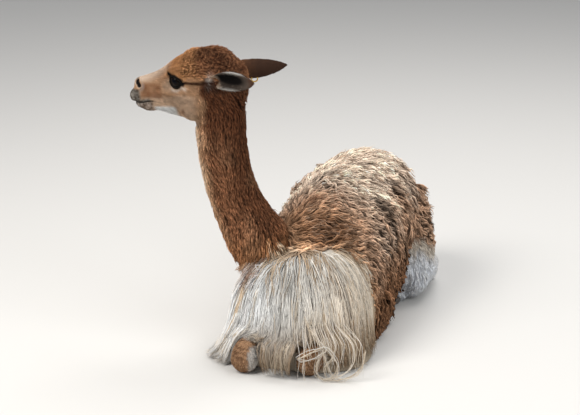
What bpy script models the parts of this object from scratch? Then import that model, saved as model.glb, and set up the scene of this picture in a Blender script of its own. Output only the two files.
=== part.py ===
"""A life-size vicuna lying with its legs folded under it and its head turned to its right.

Run it with:  blender --background --python part.py

Metres, +Z up.  The origin is on the floor under the chest pad, +Y runs towards the tail and +X is the
animal's left.  Every solid reaches out to the tips of the coat, and everything rests on z = 0.
"""

import math
from collections import namedtuple

import bmesh
import bpy
from mathutils import Matrix, Vector

# ---------------------------------------------------------------- driving dimensions
GAP = 0.0004  # between solids parted by a plane
CLEARANCE = 0.0006  # between solids where one is cut out of the other
VOXEL = 0.004  # grain of the merged forms before they are thinned out
TRUNK_LENGTH = 0.76  # brisket to buttocks
BACK_HEIGHT = 0.385  # floor to the wool over the loin
TRUNK_HALF_WIDTH = 0.172
HEAD_TURN = math.radians(189.0)  # the way the face points, counted from +X
HEAD_BASE = Vector((-0.190, -0.060, 0.0))  # floor point under the poll
KNEE_RADIUS = 0.033
KNEE_LEFT = Vector((0.076, -0.148, 0.0))
KNEE_RIGHT = Vector((-0.075, -0.178, 0.0))
BIB_BACK = 0.070  # how far back the bib wraps round the chest
EYE_PLACE = Vector((0.083, 0.0365, 0.678))  # in head space, for the left eye
EYE_RADIUS = 0.0178
EAR_BASE = Vector((-0.008, 0.047, 0.686))  # in head space, for the left ear
EAR_LENGTH = 0.152
EAR_WIDTH = 0.050
EAR_THICKNESS = 0.0045
TAIL_LENGTH = 0.20

LEFT, RIGHT = 1, -1
SIDE_NAMES = {LEFT: "left", RIGHT: "right"}
EAR_SWEEP = {LEFT: math.radians(40), RIGHT: math.radians(18)}  # out from straight back
EAR_RISE = {LEFT: math.radians(7.0), RIGHT: math.radians(4.7)}
EAR_DROOP = {LEFT: -0.30, RIGHT: 0.10}  # how far the hollow faces up, or down where negative

# Triangles each solid is brought down to.
DETAIL = {"trunk": 850, "neck": 380, "head": 1650, "leg": 280, "tail": 110, "bib": 400}

# A cross-section: its middle, its reach to the side, above and below, its turn about Z in degrees, and
# the powers that shape its lower and upper half: 1 is an ellipse, less is squarer, more is peaked.
Ring = namedtuple("Ring", "x y z side above below turn square peak", defaults=(0.0, 1.0, 1.0))


# ---------------------------------------------------------------- scene and materials
def clear_scene():
    for obj in list(bpy.data.objects):
        bpy.data.objects.remove(obj, do_unlink=True)


def make_material(name, colour, roughness, metallic=0.0):
    material = bpy.data.materials.new(name)
    material.use_nodes = True
    shader = material.node_tree.nodes["Principled BSDF"]
    shader.inputs["Base Color"].default_value = (*colour, 1.0)
    shader.inputs["Roughness"].default_value = roughness
    shader.inputs["Metallic"].default_value = metallic
    return material


def new_object(name, bm, collection):
    """Turns a bmesh into an object in the collection."""
    bmesh.ops.recalc_face_normals(bm, faces=bm.faces)
    mesh = bpy.data.meshes.new(name)
    bm.to_mesh(mesh)
    bm.free()
    obj = bpy.data.objects.new(name, mesh)
    collection.objects.link(obj)
    return obj


# ---------------------------------------------------------------- lofts and ellipsoids
def blend_rings(rings, steps):
    """Catmull-Rom values between the given rings, so that a few rings give a smooth form."""
    rows = [list(ring) for ring in rings]
    blended = []
    for i in range(len(rows) - 1):
        before, after = rows[max(i - 1, 0)], rows[min(i + 2, len(rows) - 1)]
        for step in range(steps):
            t = step / steps
            blended.append(Ring(*(
                0.5 * (2 * b + (c - a) * t + (2 * a - 5 * b + 4 * c - d) * t**2
                       + (3 * b - a - 3 * c + d) * t**3)
                for a, b, c, d in zip(before, rows[i], rows[i + 1], after))))
    blended.append(Ring(*rows[-1]))
    return blended


def signed_power(value, power):
    return math.copysign(abs(value) ** power, value)


def loft(name, rings, collection, around=28, steps=3, dome=1.0, frame=None):
    """A closed tube through the rings, with a rounded end beyond each end ring.

    dome is the length of those ends as a share of the end ring's reach, and frame places the result.
    """
    rings = blend_rings(rings, steps)
    middles = [Vector((r.x, r.y, r.z)) for r in rings]
    bm = bmesh.new()
    loops = []

    def add_loop(ring, middle, tangent, scale):
        turn = math.radians(ring.turn)
        side = Vector((math.cos(turn), math.sin(turn), 0.0))
        side = (side - tangent * side.dot(tangent)).normalized()
        above = side.cross(tangent)
        loop = []
        for k in range(around):
            angle = 2 * math.pi * k / around
            power = ring.peak if math.sin(angle) > 0 else ring.square
            across = signed_power(math.cos(angle), power) * ring.side
            up = signed_power(math.sin(angle), power)
            up *= ring.above if up > 0 else ring.below
            loop.append(bm.verts.new(middle + (side * across + above * up) * scale))
        loops.append(loop)

    count = len(rings)
    tangents = [(middles[min(i + 1, count - 1)] - middles[max(i - 1, 0)]).normalized()
                for i in range(count)]
    dome_angles = [math.radians(a) for a in (75, 50, 25)]
    reach = dome * 0.5 * (rings[0].above + rings[0].below)
    for angle in dome_angles:
        add_loop(rings[0], middles[0] - tangents[0] * reach * math.sin(angle), tangents[0],
                 math.cos(angle))
    for ring, middle, tangent in zip(rings, middles, tangents):
        add_loop(ring, middle, tangent, 1.0)
    reach = dome * 0.5 * (rings[-1].above + rings[-1].below)
    for angle in reversed(dome_angles):
        add_loop(rings[-1], middles[-1] + tangents[-1] * reach * math.sin(angle), tangents[-1],
                 math.cos(angle))
    for low, high in zip(loops, loops[1:]):
        for k in range(around):
            after = (k + 1) % around
            bm.faces.new((low[k], low[after], high[after], high[k]))
    bm.faces.new(loops[0])
    bm.faces.new(loops[-1])
    if frame:
        bm.transform(frame)
    return new_object(name, bm, collection)


def ellipsoid(name, centre, radii, collection, frame=None, segments=20, rings=12):
    """An ellipsoid with its radii along X, Y and Z before the frame places it."""
    bm = bmesh.new()
    bmesh.ops.create_uvsphere(bm, u_segments=segments, v_segments=rings, radius=1.0)
    place = Matrix.Translation(centre) @ Matrix.Diagonal((*radii, 1.0))
    bm.transform((frame or Matrix.Identity(4)) @ place)
    return new_object(name, bm, collection)


# ---------------------------------------------------------------- joining, thinning and cutting
def bake(obj):
    """Applies every modifier of the object to its mesh."""
    graph = bpy.context.evaluated_depsgraph_get()
    graph.update()
    baked = bpy.data.meshes.new_from_object(obj.evaluated_get(graph), depsgraph=graph)
    obj.modifiers.clear()
    obj.data = baked
    return obj


def merge(name, forms, voxel, smoothing, collection):
    """One seamless body from forms that overlap."""
    bm = bmesh.new()
    for form in forms:
        bm.from_mesh(form.data)
        bpy.data.objects.remove(form)
    body = new_object(name, bm, collection)
    remesh = body.modifiers.new("Remesh", "REMESH")
    remesh.mode = "VOXEL"
    remesh.voxel_size = voxel
    smooth = body.modifiers.new("Smooth", "SMOOTH")
    smooth.factor = 0.5
    smooth.iterations = smoothing
    return bake(body)


def thin_out(obj, triangles):
    """Brings the mesh down to about this many triangles."""
    now = sum(len(p.vertices) - 2 for p in obj.data.polygons)
    decimate = obj.modifiers.new("Decimate", "DECIMATE")
    decimate.ratio = min(1.0, triangles / now)
    decimate.use_collapse_triangulate = True
    return bake(obj)


def copy_of(obj, name, collection):
    copy = bpy.data.objects.new(name, obj.data.copy())
    collection.objects.link(copy)
    return copy


def keep_side(obj, point, normal):
    """Cuts the mesh by a plane and keeps, and caps, what lies on the side that normal points to."""
    bm = bmesh.new()
    bm.from_mesh(obj.data)
    bmesh.ops.bisect_plane(bm, geom=bm.verts[:] + bm.edges[:] + bm.faces[:], dist=1e-6,
                           plane_co=point, plane_no=normal, clear_inner=True)
    rim = [edge for edge in bm.edges if edge.is_boundary]
    bmesh.ops.edgeloop_fill(bm, edges=rim)
    bmesh.ops.triangulate(bm, faces=[f for f in bm.faces if len(f.verts) > 3])
    bmesh.ops.recalc_face_normals(bm, faces=bm.faces)
    bm.to_mesh(obj.data)
    bm.free()
    return obj


def swollen(obj, by, collection):
    """A copy of a solid grown outwards, which cuts its neighbour with a gap."""
    grown = copy_of(obj, obj.name + "_cutter", collection)
    displace = grown.modifiers.new("Grow", "DISPLACE")
    displace.mid_level = 0.0
    displace.strength = by
    return bake(grown)


def between(obj, point, normal, triangles):
    """Thins the mesh out, then cuts it cleanly on a plane, half a gap short of it."""
    margin = 0.02
    keep_side(obj, point - normal * margin, normal)
    thin_out(obj, triangles)
    return keep_side(obj, point + normal * GAP / 2, normal)


def subtract(obj, *cutters):
    for cutter in cutters:
        cut = obj.modifiers.new("Cut", "BOOLEAN")
        cut.operation = "DIFFERENCE"
        cut.use_self = True
        cut.object = cutter
        bake(obj)
        bpy.data.objects.remove(cutter)
    return keep_largest(obj)


def keep_largest(obj):
    """Drops the crumbs that a cut leaves beside the main body."""
    bm = bmesh.new()
    bm.from_mesh(obj.data)
    islands, unseen = [], set(bm.verts)
    while unseen:
        island, queue = set(), [unseen.pop()]
        while queue:
            vert = queue.pop()
            island.add(vert)
            for edge in vert.link_edges:
                other = edge.other_vert(vert)
                if other in unseen:
                    unseen.discard(other)
                    queue.append(other)
        islands.append(island)
    main = max(islands, key=len)
    bmesh.ops.delete(bm, geom=[v for v in bm.verts if v not in main], context="VERTS")
    bm.to_mesh(obj.data)
    bm.free()
    return obj


def rest_on_floor(obj):
    """Gives the solid a flat underside where it would reach through the floor."""
    return keep_side(obj, (0, 0, 0), (0, 0, 1))


# ---------------------------------------------------------------- the body's forms
def trunk_form(helpers):
    """The barrel with its wool, from the brisket to the buttocks."""
    start = -0.095
    #        share of length, middle height, half width, above and below the middle, two shape powers
    sections = [
        (0.00, 0.150, 0.085, 0.075, 0.150, 1.00, 1.10),
        (0.08, 0.160, 0.135, 0.110, 0.260, 0.92, 1.15),
        (0.20, 0.165, 0.166, 0.148, 0.420, 0.88, 1.20),
        (0.34, 0.170, 0.170, 0.180, 0.400, 0.88, 1.20),
        (0.48, 0.180, TRUNK_HALF_WIDTH, BACK_HEIGHT - 0.180, 0.310, 0.90, 1.10),
        (0.62, 0.188, 0.168, 0.207, 0.260, 0.92, 1.00),
        (0.74, 0.190, 0.158, 0.206, 0.225, 0.95, 1.00),
        (0.85, 0.188, 0.135, 0.184, 0.200, 1.00, 1.00),
        (0.93, 0.180, 0.102, 0.146, 0.172, 1.00, 1.00),
        (0.98, 0.172, 0.060, 0.095, 0.110, 1.00, 1.00),
    ]
    rings = [Ring(0, start + share * TRUNK_LENGTH, z, side, above, below, 0, square, peak)
             for share, z, side, above, below, square, peak in sections]
    return loft("trunk_form", rings, helpers, around=40, dome=0.4)


def neck_form(helpers):
    """The neck leaves the shoulders forwards, leans to the animal's right and turns with the head."""
    face = math.degrees(HEAD_TURN) - 270.0  # the head's own turn from straight ahead
    rings = [
        Ring(0.000, 0.080, 0.165, 0.105, 0.105, 0.115, 0),
        Ring(-0.055, 0.034, 0.210, 0.092, 0.102, 0.084, 0.10 * face),
        Ring(-0.094, 0.002, 0.265, 0.078, 0.088, 0.074, 0.30 * face),
        Ring(-0.121, -0.026, 0.322, 0.062, 0.072, 0.065, 0.55 * face),
        Ring(-0.147, -0.043, 0.382, 0.053, 0.065, 0.062, 0.80 * face),
        Ring(-0.164, -0.053, 0.440, 0.050, 0.063, 0.061, 0.95 * face),
        Ring(-0.175, -0.058, 0.505, 0.049, 0.063, 0.062, face),
        Ring(-0.180, -0.058, 0.570, 0.049, 0.063, 0.062, face),
        Ring(-0.182, -0.058, 0.640, 0.049, 0.062, 0.062, face),
    ]
    return loft("neck_form", rings, helpers, around=32, dome=0.6)


def head_frame():
    """Head space: X forwards along the face, Y to the animal's left, Z up from the floor."""
    return Matrix.Translation(HEAD_BASE) @ Matrix.Rotation(HEAD_TURN, 4, "Z")


def head_forms(helpers):
    """The woolly crown, face and muzzle, then the bony and fleshy forms on them."""
    frame = head_frame()
    #    forwards, middle height, half width, above, below
    sections = [
        (-0.046, 0.660, 0.042, 0.076, 0.045),
        (-0.022, 0.660, 0.054, 0.0985, 0.063),
        (0.006, 0.659, 0.058, 0.1015, 0.073),
        (0.037, 0.657, 0.058, 0.099, 0.079),
        (0.065, 0.655, 0.052, 0.0915, 0.076),
        (0.094, 0.655, 0.042, 0.0765, 0.072),
        (0.122, 0.655, 0.034, 0.054, 0.067),
        (0.145, 0.655, 0.029, 0.038, 0.060),
        (0.165, 0.654, 0.026, 0.029, 0.048),
        (0.183, 0.652, 0.024, 0.024, 0.036),
    ]
    # The loft's side axis is turned a quarter, because these rings are stacked along X.
    rings = [Ring(x, 0, z, side, above, below, -90) for x, z, side, above, below in sections]
    forms = [loft("face_form", rings, helpers, around=32, dome=0.55, frame=frame)]
    #        name, centre, radii; the ones off the midline are made on both sides
    lumps = [
        ("nose", (0.186, 0.0, 0.662), (0.013, 0.021, 0.014)),
        ("upper_lip", (0.194, 0.009, 0.633), (0.017, 0.013, 0.017)),
        ("lower_lip", (0.178, 0.006, 0.609), (0.017, 0.012, 0.009)),
        ("chin", (0.158, 0.0, 0.603), (0.024, 0.018, 0.011)),
        ("brow", (0.086, 0.038, 0.699), (0.030, 0.015, 0.014)),
        ("cheekbone", (0.092, 0.034, 0.650), (0.040, 0.013, 0.013)),
        ("jaw_muscle", (0.044, 0.034, 0.618), (0.044, 0.021, 0.040)),
        ("ear_base", (-0.008, 0.040, 0.688), (0.022, 0.018, 0.024)),
    ]
    for name, centre, radii in lumps:
        for side in (LEFT, RIGHT) if centre[1] else (LEFT,):
            place = (centre[0], side * centre[1], centre[2])
            forms.append(ellipsoid(name, place, radii, helpers, frame))
    return forms


def foreleg_form(side, knee, helpers):
    """Forearm, knee, and the cannon and foot folded back under the chest."""
    radius = KNEE_RADIUS
    forearm = [
        Ring(knee.x, knee.y, radius * 1.02, radius, radius * 1.05, radius),
        Ring(knee.x * 1.05, knee.y + 0.06, 0.048, 0.031, 0.036, 0.032),
        Ring(knee.x * 1.12, knee.y + 0.13, 0.066, 0.036, 0.045, 0.044),
        Ring(side * 0.094, 0.025, 0.078, 0.042, 0.060, 0.060),
    ]
    cannon = [
        Ring(knee.x, knee.y + 0.005, 0.024, 0.026, 0.024, 0.026),
        Ring(knee.x, knee.y + 0.08, 0.020, 0.020, 0.020, 0.022),
        Ring(knee.x, knee.y + 0.16, 0.022, 0.021, 0.022, 0.024),
        Ring(knee.x, knee.y + 0.20, 0.022, 0.026, 0.020, 0.024),
    ]
    name = f"foreleg_{SIDE_NAMES[side]}"
    forms = [loft("forearm", forearm, helpers, around=20, dome=0.9),
             loft("cannon", cannon, helpers, around=16, dome=1.0)]
    return thin_out(merge(name, forms, VOXEL, 8, helpers), DETAIL["leg"])


def hindleg_form(side, helpers):
    """Thigh, stifle, shank back to the hock, and the long foot pointing forwards on the floor."""
    thigh = [
        Ring(side * 0.065, 0.535, 0.255, 0.066, 0.085, 0.085),
        Ring(side * 0.103, 0.515, 0.200, 0.066, 0.098, 0.095),
        Ring(side * 0.134, 0.490, 0.135, 0.060, 0.085, 0.090),
        Ring(side * 0.150, 0.480, 0.075, 0.048, 0.062, 0.075),
    ]
    shank = [
        Ring(side * 0.152, 0.462, 0.085, 0.044, 0.070, 0.075),
        Ring(side * 0.150, 0.540, 0.065, 0.036, 0.050, 0.050),
        Ring(side * 0.140, 0.625, 0.045, 0.026, 0.034, 0.040),
    ]
    foot = [
        Ring(side * 0.138, 0.640, 0.030, 0.023, 0.024, 0.030),
        Ring(side * 0.130, 0.560, 0.024, 0.021, 0.022, 0.026),
        Ring(side * 0.122, 0.480, 0.022, 0.021, 0.021, 0.024),
        Ring(side * 0.116, 0.440, 0.021, 0.027, 0.019, 0.023),
        Ring(side * 0.114, 0.412, 0.016, 0.024, 0.012, 0.018),
    ]
    name = f"hindleg_{SIDE_NAMES[side]}"
    forms = [loft("thigh", thigh, helpers, around=24, dome=0.5),
             loft("shank", shank, helpers, around=20, dome=0.8),
             loft("foot", foot, helpers, around=16, dome=0.8)]
    return thin_out(merge(name, forms, VOXEL, 8, helpers), DETAIL["leg"])


def tail_form(helpers):
    """A short woolly tail held down against the buttocks."""
    root = Vector((0.0, 0.640, 0.275))
    shares = [(0.0, 0.024, 0.0), (0.3, 0.032, 0.030), (0.65, 0.034, 0.042), (1.0, 0.022, 0.040)]
    rings = [Ring(0, root.y + back, root.z - share * TAIL_LENGTH, side, side * 0.62, side * 0.62, 180)
             for share, side, back in shares]
    form = loft("tail_form", rings, helpers, around=16)
    return thin_out(merge("tail", [form], VOXEL, 6, helpers), DETAIL["tail"])


def bib_form(helpers):
    """The outer shape of the long hair that hangs from the chest and shoulders to the floor."""
    rings = [
        Ring(0.000, -0.007, -0.030, 0.206, 0.158, 0.110, 0, 0.85, 0.85),
        Ring(0.000, -0.007, 0.005, 0.200, 0.154, 0.112, 0, 0.85, 0.85),
        Ring(0.001, -0.007, 0.045, 0.185, 0.145, 0.115, 0, 0.85, 0.85),
        Ring(0.002, -0.006, 0.110, 0.177, 0.136, 0.115, 0, 0.88, 0.88),
        Ring(-0.002, -0.002, 0.165, 0.168, 0.128, 0.110, 0, 0.92, 0.92),
        Ring(-0.010, 0.002, 0.215, 0.146, 0.118, 0.095),
        Ring(-0.020, 0.004, 0.248, 0.114, 0.104, 0.080),
    ]
    return loft("bib_form", rings, helpers, around=32, dome=0.12)


def chest_core(helpers):
    """The chest inside the bib, down to the pad it rests on."""
    rings = [
        Ring(0, 0.045, -0.010, 0.120, 0.105, 0.150, 0),
        Ring(0, 0.050, 0.120, 0.130, 0.105, 0.150, 0),
        Ring(0, 0.055, 0.220, 0.110, 0.095, 0.140, 0),
        Ring(0, 0.065, 0.330, 0.070, 0.070, 0.120, 0),
    ]
    return loft("chest_core", rings, helpers, around=18, steps=1, dome=0.2)


# ---------------------------------------------------------------- small solids
def ear_frame(side):
    """Ear space: X along the ear to its tip, Y across the blade, Z out of its hollow face."""
    sweep = EAR_SWEEP[side]
    along = Vector((-math.cos(sweep), side * math.sin(sweep), math.tan(EAR_RISE[side]))).normalized()
    out = Vector((0.45, side * 0.85, EAR_DROOP[side]))  # the hollow faces outwards and forwards
    out = (out - along * out.dot(along)).normalized()
    across = out.cross(along)
    local = Matrix((along, across, out)).transposed().to_4x4()
    base = Vector((EAR_BASE.x, side * EAR_BASE.y, EAR_BASE.z))
    return head_frame() @ Matrix.Translation(base) @ local


def ear(side, helpers):
    """A pointed, hollow leaf: an open blade that Solidify makes thick."""
    along_count, across_count = 9, 5
    widest = 0.42  # share of the length
    bm = bmesh.new()
    rows = []
    for i in range(along_count + 1):
        t = i / along_count
        opening = 0.55 + 0.45 * math.sin(math.pi / 2 * min(t / widest, 1.0))
        taper = (1.0 - max(0.0, (t - widest) / (1.0 - widest)) ** 2) ** 0.75
        width = max(EAR_WIDTH * opening * taper, 0.004)
        curl = math.radians(150 - 95 * t)  # how far the blade's edges turn in
        radius = width / (2 * math.sin(curl / 2))
        sag = 0.012 * math.sin(math.pi * t)
        row = []
        for k in range(across_count + 1):
            angle = curl * (k / across_count - 0.5)
            row.append(bm.verts.new((t * EAR_LENGTH, radius * math.sin(angle),
                                     radius * (1 - math.cos(angle)) - sag)))
        rows.append(row)
    for low, high in zip(rows, rows[1:]):
        for k in range(across_count):
            bm.faces.new((low[k], low[k + 1], high[k + 1], high[k]))
    bm.transform(ear_frame(side))
    blade = new_object("ear", bm, helpers)
    solid = blade.modifiers.new("Thickness", "SOLIDIFY")
    solid.thickness = EAR_THICKNESS
    solid.offset = 0.0
    return bake(blade)


def toe_places(leg, side):
    """Where the two nails of a foot sit: hind feet point forwards, folded forefeet backwards."""
    if leg == "hindleg":
        middle = Vector((side * 0.114, 0.398, 0.012))
    else:
        knee = KNEE_LEFT if side == LEFT else KNEE_RIGHT
        middle = Vector((knee.x, knee.y + 0.226, 0.016))
    return [(toe, middle + Vector((0.011 * offset, 0.0, 0.0))) for toe, offset in ((1, -1), (2, 1))]


def toenail(name, place, helpers):
    """One of the two nails of a foot."""
    return ellipsoid(name, place, (0.0075, 0.016, 0.009), helpers, segments=6, rings=5)


def ear_tag(helpers):
    """A stock-keeper's small yellow ring tag, hung by its top from the lower edge of the right ear."""
    edge = Matrix.Translation((0.0705, 0.0205, 0.0)) @ Matrix.Rotation(math.radians(41), 4, "X")
    hang = Matrix.Translation((0, 0, -0.0062)) @ Matrix.Rotation(math.radians(-38), 4, "X")
    place = ear_frame(RIGHT) @ edge @ hang
    bm = bmesh.new()
    ring_count, tube_count, radius, tube = 12, 5, 0.0076, 0.0017
    rows = []
    for i in range(ring_count):
        a = 2 * math.pi * i / ring_count
        row = []
        for k in range(tube_count):
            b = 2 * math.pi * k / tube_count
            reach = radius + tube * math.cos(b)
            row.append(bm.verts.new((reach * math.cos(a), reach * math.sin(a), tube * math.sin(b))))
        rows.append(row)
    for i in range(ring_count):
        for k in range(tube_count):
            bm.faces.new((rows[i][k], rows[i][(k + 1) % tube_count],
                          rows[(i + 1) % ring_count][(k + 1) % tube_count],
                          rows[(i + 1) % ring_count][k]))
    bm.transform(place)
    return new_object("ear_tag", bm, helpers)


# ---------------------------------------------------------------- assembly
def build():
    clear_scene()
    parts = bpy.data.collections.new("vicuna")
    helpers = bpy.data.collections.new("helpers")
    for collection in (parts, helpers):
        bpy.context.scene.collection.children.link(collection)

    fawn = make_material("fawn_wool", (0.47, 0.29, 0.15), 0.95)
    cinnamon = make_material("cinnamon_fur", (0.38, 0.19, 0.08), 0.9)
    cream = make_material("cream_hair", (0.78, 0.70, 0.58), 0.85)
    eye_dark = make_material("eye_dark", (0.01, 0.008, 0.007), 0.08)
    horn = make_material("toenail_horn", (0.05, 0.04, 0.035), 0.45)
    yellow = make_material("tag_yellow", (0.75, 0.48, 0.08), 0.4)

    def keep(obj, name, material):
        """Names a finished solid, gives it its own material and puts it among the parts."""
        obj.name = name
        obj.data.name = name
        obj.data.materials.clear()
        own = material.copy()
        own.name = name + "_" + material.name
        obj.data.materials.append(own)
        helpers.objects.unlink(obj)
        parts.objects.link(obj)
        obj.data.shade_smooth()
        obj.data.set_sharp_from_angle(angle=math.radians(50))
        return obj

    def clearance(*solids):
        """Cutters that leave the usual gap round these solids."""
        return [swollen(solid, CLEARANCE, helpers) for solid in solids]

    # Trunk, neck and head are modelled whole, then parted by two planes.
    whole = merge("whole", [trunk_form(helpers), neck_form(helpers), *head_forms(helpers)],
                  VOXEL, 10, helpers)
    head_spin = Matrix.Rotation(HEAD_TURN, 3, "Z")
    shoulder, shoulder_way = Vector((-0.05, -0.02, 0.290)), Vector((-0.25, -0.42, 0.87)).normalized()
    poll, poll_way = Vector((-0.182, -0.058, 0.600)), (head_spin @ Vector((0.50, 0.0, 0.866))).normalized()

    trunk = between(copy_of(whole, "trunk", helpers), shoulder, -shoulder_way, DETAIL["trunk"])
    neck = keep_side(copy_of(whole, "neck", helpers), poll + poll_way * 0.01, -poll_way)
    neck = between(neck, shoulder, shoulder_way, DETAIL["neck"])
    neck = keep_side(neck, poll - poll_way * GAP, -poll_way)
    head = between(whole, poll, poll_way, DETAIL["head"])
    trunk = rest_on_floor(trunk)

    # The bib wraps round the front of the chest, which stays whole down to the floor.
    bib = subtract(bib_form(helpers), chest_core(helpers))
    bib = rest_on_floor(keep_side(bib, (0, BIB_BACK, 0), (0, -1, 0)))
    bib = thin_out(bib, DETAIL["bib"])
    legs = {}
    for side, knee in ((LEFT, KNEE_LEFT), (RIGHT, KNEE_RIGHT)):
        legs["foreleg", side] = rest_on_floor(foreleg_form(side, knee, helpers))
        legs["hindleg", side] = rest_on_floor(hindleg_form(side, helpers))
    bib = subtract(bib, *clearance(legs["foreleg", LEFT], legs["foreleg", RIGHT]))
    tail = tail_form(helpers)
    trunk = subtract(trunk, *clearance(bib, tail, *legs.values()))
    neck = subtract(neck, *clearance(bib))

    nails = []
    for (leg, side), solid in legs.items():
        for toe, place in toe_places(leg, side):
            nail = rest_on_floor(toenail(f"toenail_{leg}_{SIDE_NAMES[side]}_{toe}", place, helpers))
            subtract(solid, *clearance(nail))
            nails.append(nail)
    trunk = subtract(trunk, *clearance(*nails))

    for side in (LEFT, RIGHT):
        word = SIDE_NAMES[side]
        eye = ellipsoid("eye", (EYE_PLACE.x, side * EYE_PLACE.y, EYE_PLACE.z), (EYE_RADIUS,) * 3,
                        helpers, head_frame(), segments=12, rings=8)
        head = subtract(head, *clearance(eye))
        keep(eye, f"eye_{word}", eye_dark)
        blade = subtract(ear(side, helpers), *clearance(head))
        if side == RIGHT:
            tag = ear_tag(helpers)
            subtract(blade, *clearance(tag))
            keep(tag, "ear_tag", yellow)
        keep(blade, f"ear_{word}", cinnamon)

    keep(trunk, "trunk", fawn)
    keep(neck, "neck", cinnamon)
    keep(head, "head", cinnamon)
    keep(bib, "chest_bib", cream)
    keep(tail, "tail", fawn)
    for (leg, side), solid in legs.items():
        keep(solid, f"{leg}_{SIDE_NAMES[side]}", cinnamon if leg == "foreleg" else cream)
    for nail in nails:
        keep(nail, nail.name, horn)


if __name__ == "__main__":
    build()
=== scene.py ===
"""The looks of the resting vicuna: one skin, its coat of modelled hair, eyes, toenails and ear tag."""

import math

import bmesh
import bpy
import numpy as np
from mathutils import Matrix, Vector
from mathutils.bvhtree import BVHTree
from mathutils.kdtree import KDTree


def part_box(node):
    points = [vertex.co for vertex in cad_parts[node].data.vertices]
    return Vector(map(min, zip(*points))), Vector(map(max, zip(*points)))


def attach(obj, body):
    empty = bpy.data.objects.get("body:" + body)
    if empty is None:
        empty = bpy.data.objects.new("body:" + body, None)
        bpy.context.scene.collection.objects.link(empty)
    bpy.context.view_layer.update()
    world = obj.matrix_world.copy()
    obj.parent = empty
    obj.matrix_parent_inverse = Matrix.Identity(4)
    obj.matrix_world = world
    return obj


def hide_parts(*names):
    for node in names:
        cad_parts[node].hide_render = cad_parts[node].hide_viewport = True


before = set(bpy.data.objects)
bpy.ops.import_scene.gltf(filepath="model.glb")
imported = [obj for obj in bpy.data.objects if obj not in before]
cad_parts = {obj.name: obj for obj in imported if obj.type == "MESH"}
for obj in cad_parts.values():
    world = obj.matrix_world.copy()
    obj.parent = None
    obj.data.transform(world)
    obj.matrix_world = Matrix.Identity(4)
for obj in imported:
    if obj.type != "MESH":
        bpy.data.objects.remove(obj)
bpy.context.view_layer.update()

# ---------------------------------------------------------------- driving values, in metres
# the flesh nodes, with the coat's depth on each and how light the skin is under it: the skin's colour is
# darkened there as painted shade in the gaps of the coat
FLESH = {"trunk": (0.017, 0.42), "neck": (0.0068, 0.55), "head": (0.0030, 0.80),
         "chest_bib": (0.017, 0.66), "tail": (0.009, 0.45),
         "foreleg_left": (0.0004, 0.75), "foreleg_right": (0.0004, 0.75),
         "hindleg_left": (0.006, 0.75), "hindleg_right": (0.006, 0.75),
         "ear_left": (0.0004, 0.85), "ear_right": (0.0004, 0.85)}
EYES = ("eye_left", "eye_right")
TRUNK, NECK, HEAD, BIB, TAIL, FORELEGS, HINDLEGS, EARS = 0, 1, 2, 3, 4, (5, 6), (7, 8), (9, 10)
COAT_DEPTH, PAINTED_SHADE_ON_SKIN = np.array(list(FLESH.values())).T
SEAM_OVERLAP = 0.0005  # closes the gap between neighbouring solids
SKIN_VOXEL = 0.0024
SKIN_FACES = 115000
SKIN_FLOOR = 0.0008  # the lowest height of the skin
LEFT, RIGHT = 1, -1
HAIR_SHARE = 1.0  # below 1 it grows a thinner coat
UV_PATCH = 0.003  # size of one tuft on the OFBake map
UP = np.array((0.0, 0.0, 1.0))


# ---------------------------------------------------------------- small numeric helpers
def unit(v):
    """Vectors scaled to length one."""
    return v / np.maximum(np.linalg.norm(v, axis=-1, keepdims=True), 1e-12)


def ramp(value, low, high):
    """0 below low, 1 above high, and a smooth rise between them (low may be above high)."""
    t = np.clip((value - low) / (high - low), 0.0, 1.0)
    return t * t * (3.0 - 2.0 * t)


def bump(value, width):
    """A bell of the given half width."""
    return np.exp(-(value / width) ** 2)


def mix(a, b, share):
    """Blend of two colours or two arrays of colours."""
    share = np.asarray(share)[..., None]
    return np.asarray(a) * (1.0 - share) + np.asarray(b) * share


def lattice(ix, iy, iz, seed):
    """A fixed random value from -1 to 1 at each lattice point."""
    h = (ix * 374761393 + iy * 668265263 + iz * 1442695041 + seed * 974634777) & 0xFFFFFFFF
    h = ((h ^ (h >> 13)) * 1274126177) & 0xFFFFFFFF
    h = ((h ^ (h >> 16)) * 2246822519) & 0xFFFFFFFF
    return ((h ^ (h >> 15)) & 0xFFFF) / 32767.5 - 1.0


def noise(points, scale, seed=0):
    """Smooth noise from about -1 to 1 whose spots are about scale across."""
    p = points / scale + 1000.0
    cell = np.floor(p).astype(np.int64)
    f = p - cell
    f = f * f * (3.0 - 2.0 * f)
    total = np.zeros(len(points))
    for dx in (0, 1):
        wx = f[:, 0] if dx else 1.0 - f[:, 0]
        for dy in (0, 1):
            wy = f[:, 1] if dy else 1.0 - f[:, 1]
            for dz in (0, 1):
                wz = f[:, 2] if dz else 1.0 - f[:, 2]
                total += wx * wy * wz * lattice(cell[:, 0] + dx, cell[:, 1] + dy,
                                                cell[:, 2] + dz, seed)
    return total


def gap_to(points, spot):
    """Distance of each point from one spot."""
    return np.linalg.norm(points - spot, axis=1)


def beside_line(points, start, end):
    """How far along a line each point lies, from 0 to 1, and its distance from the line."""
    line = end - start
    share = np.clip((points - start) @ line / (line @ line), 0.0, 1.0)
    return share, gap_to(points - share[:, None] * line, start)


def line_distance(points, corners):
    """Distance from points to the nearest of the straight pieces between corners."""
    return np.min([beside_line(points, *ends)[1] for ends in zip(corners[:-1], corners[1:])], axis=0)


def mesh_arrays(mesh):
    """Vertex places and triangles of a mesh as arrays."""
    mesh.calc_loop_triangles()
    verts = np.empty(len(mesh.vertices) * 3, np.float32)
    mesh.vertices.foreach_get("co", verts)
    tris = np.empty(len(mesh.loop_triangles) * 3, np.int32)
    mesh.loop_triangles.foreach_get("vertices", tris)
    return verts.reshape(-1, 3).astype(float), tris.reshape(-1, 3)


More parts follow.
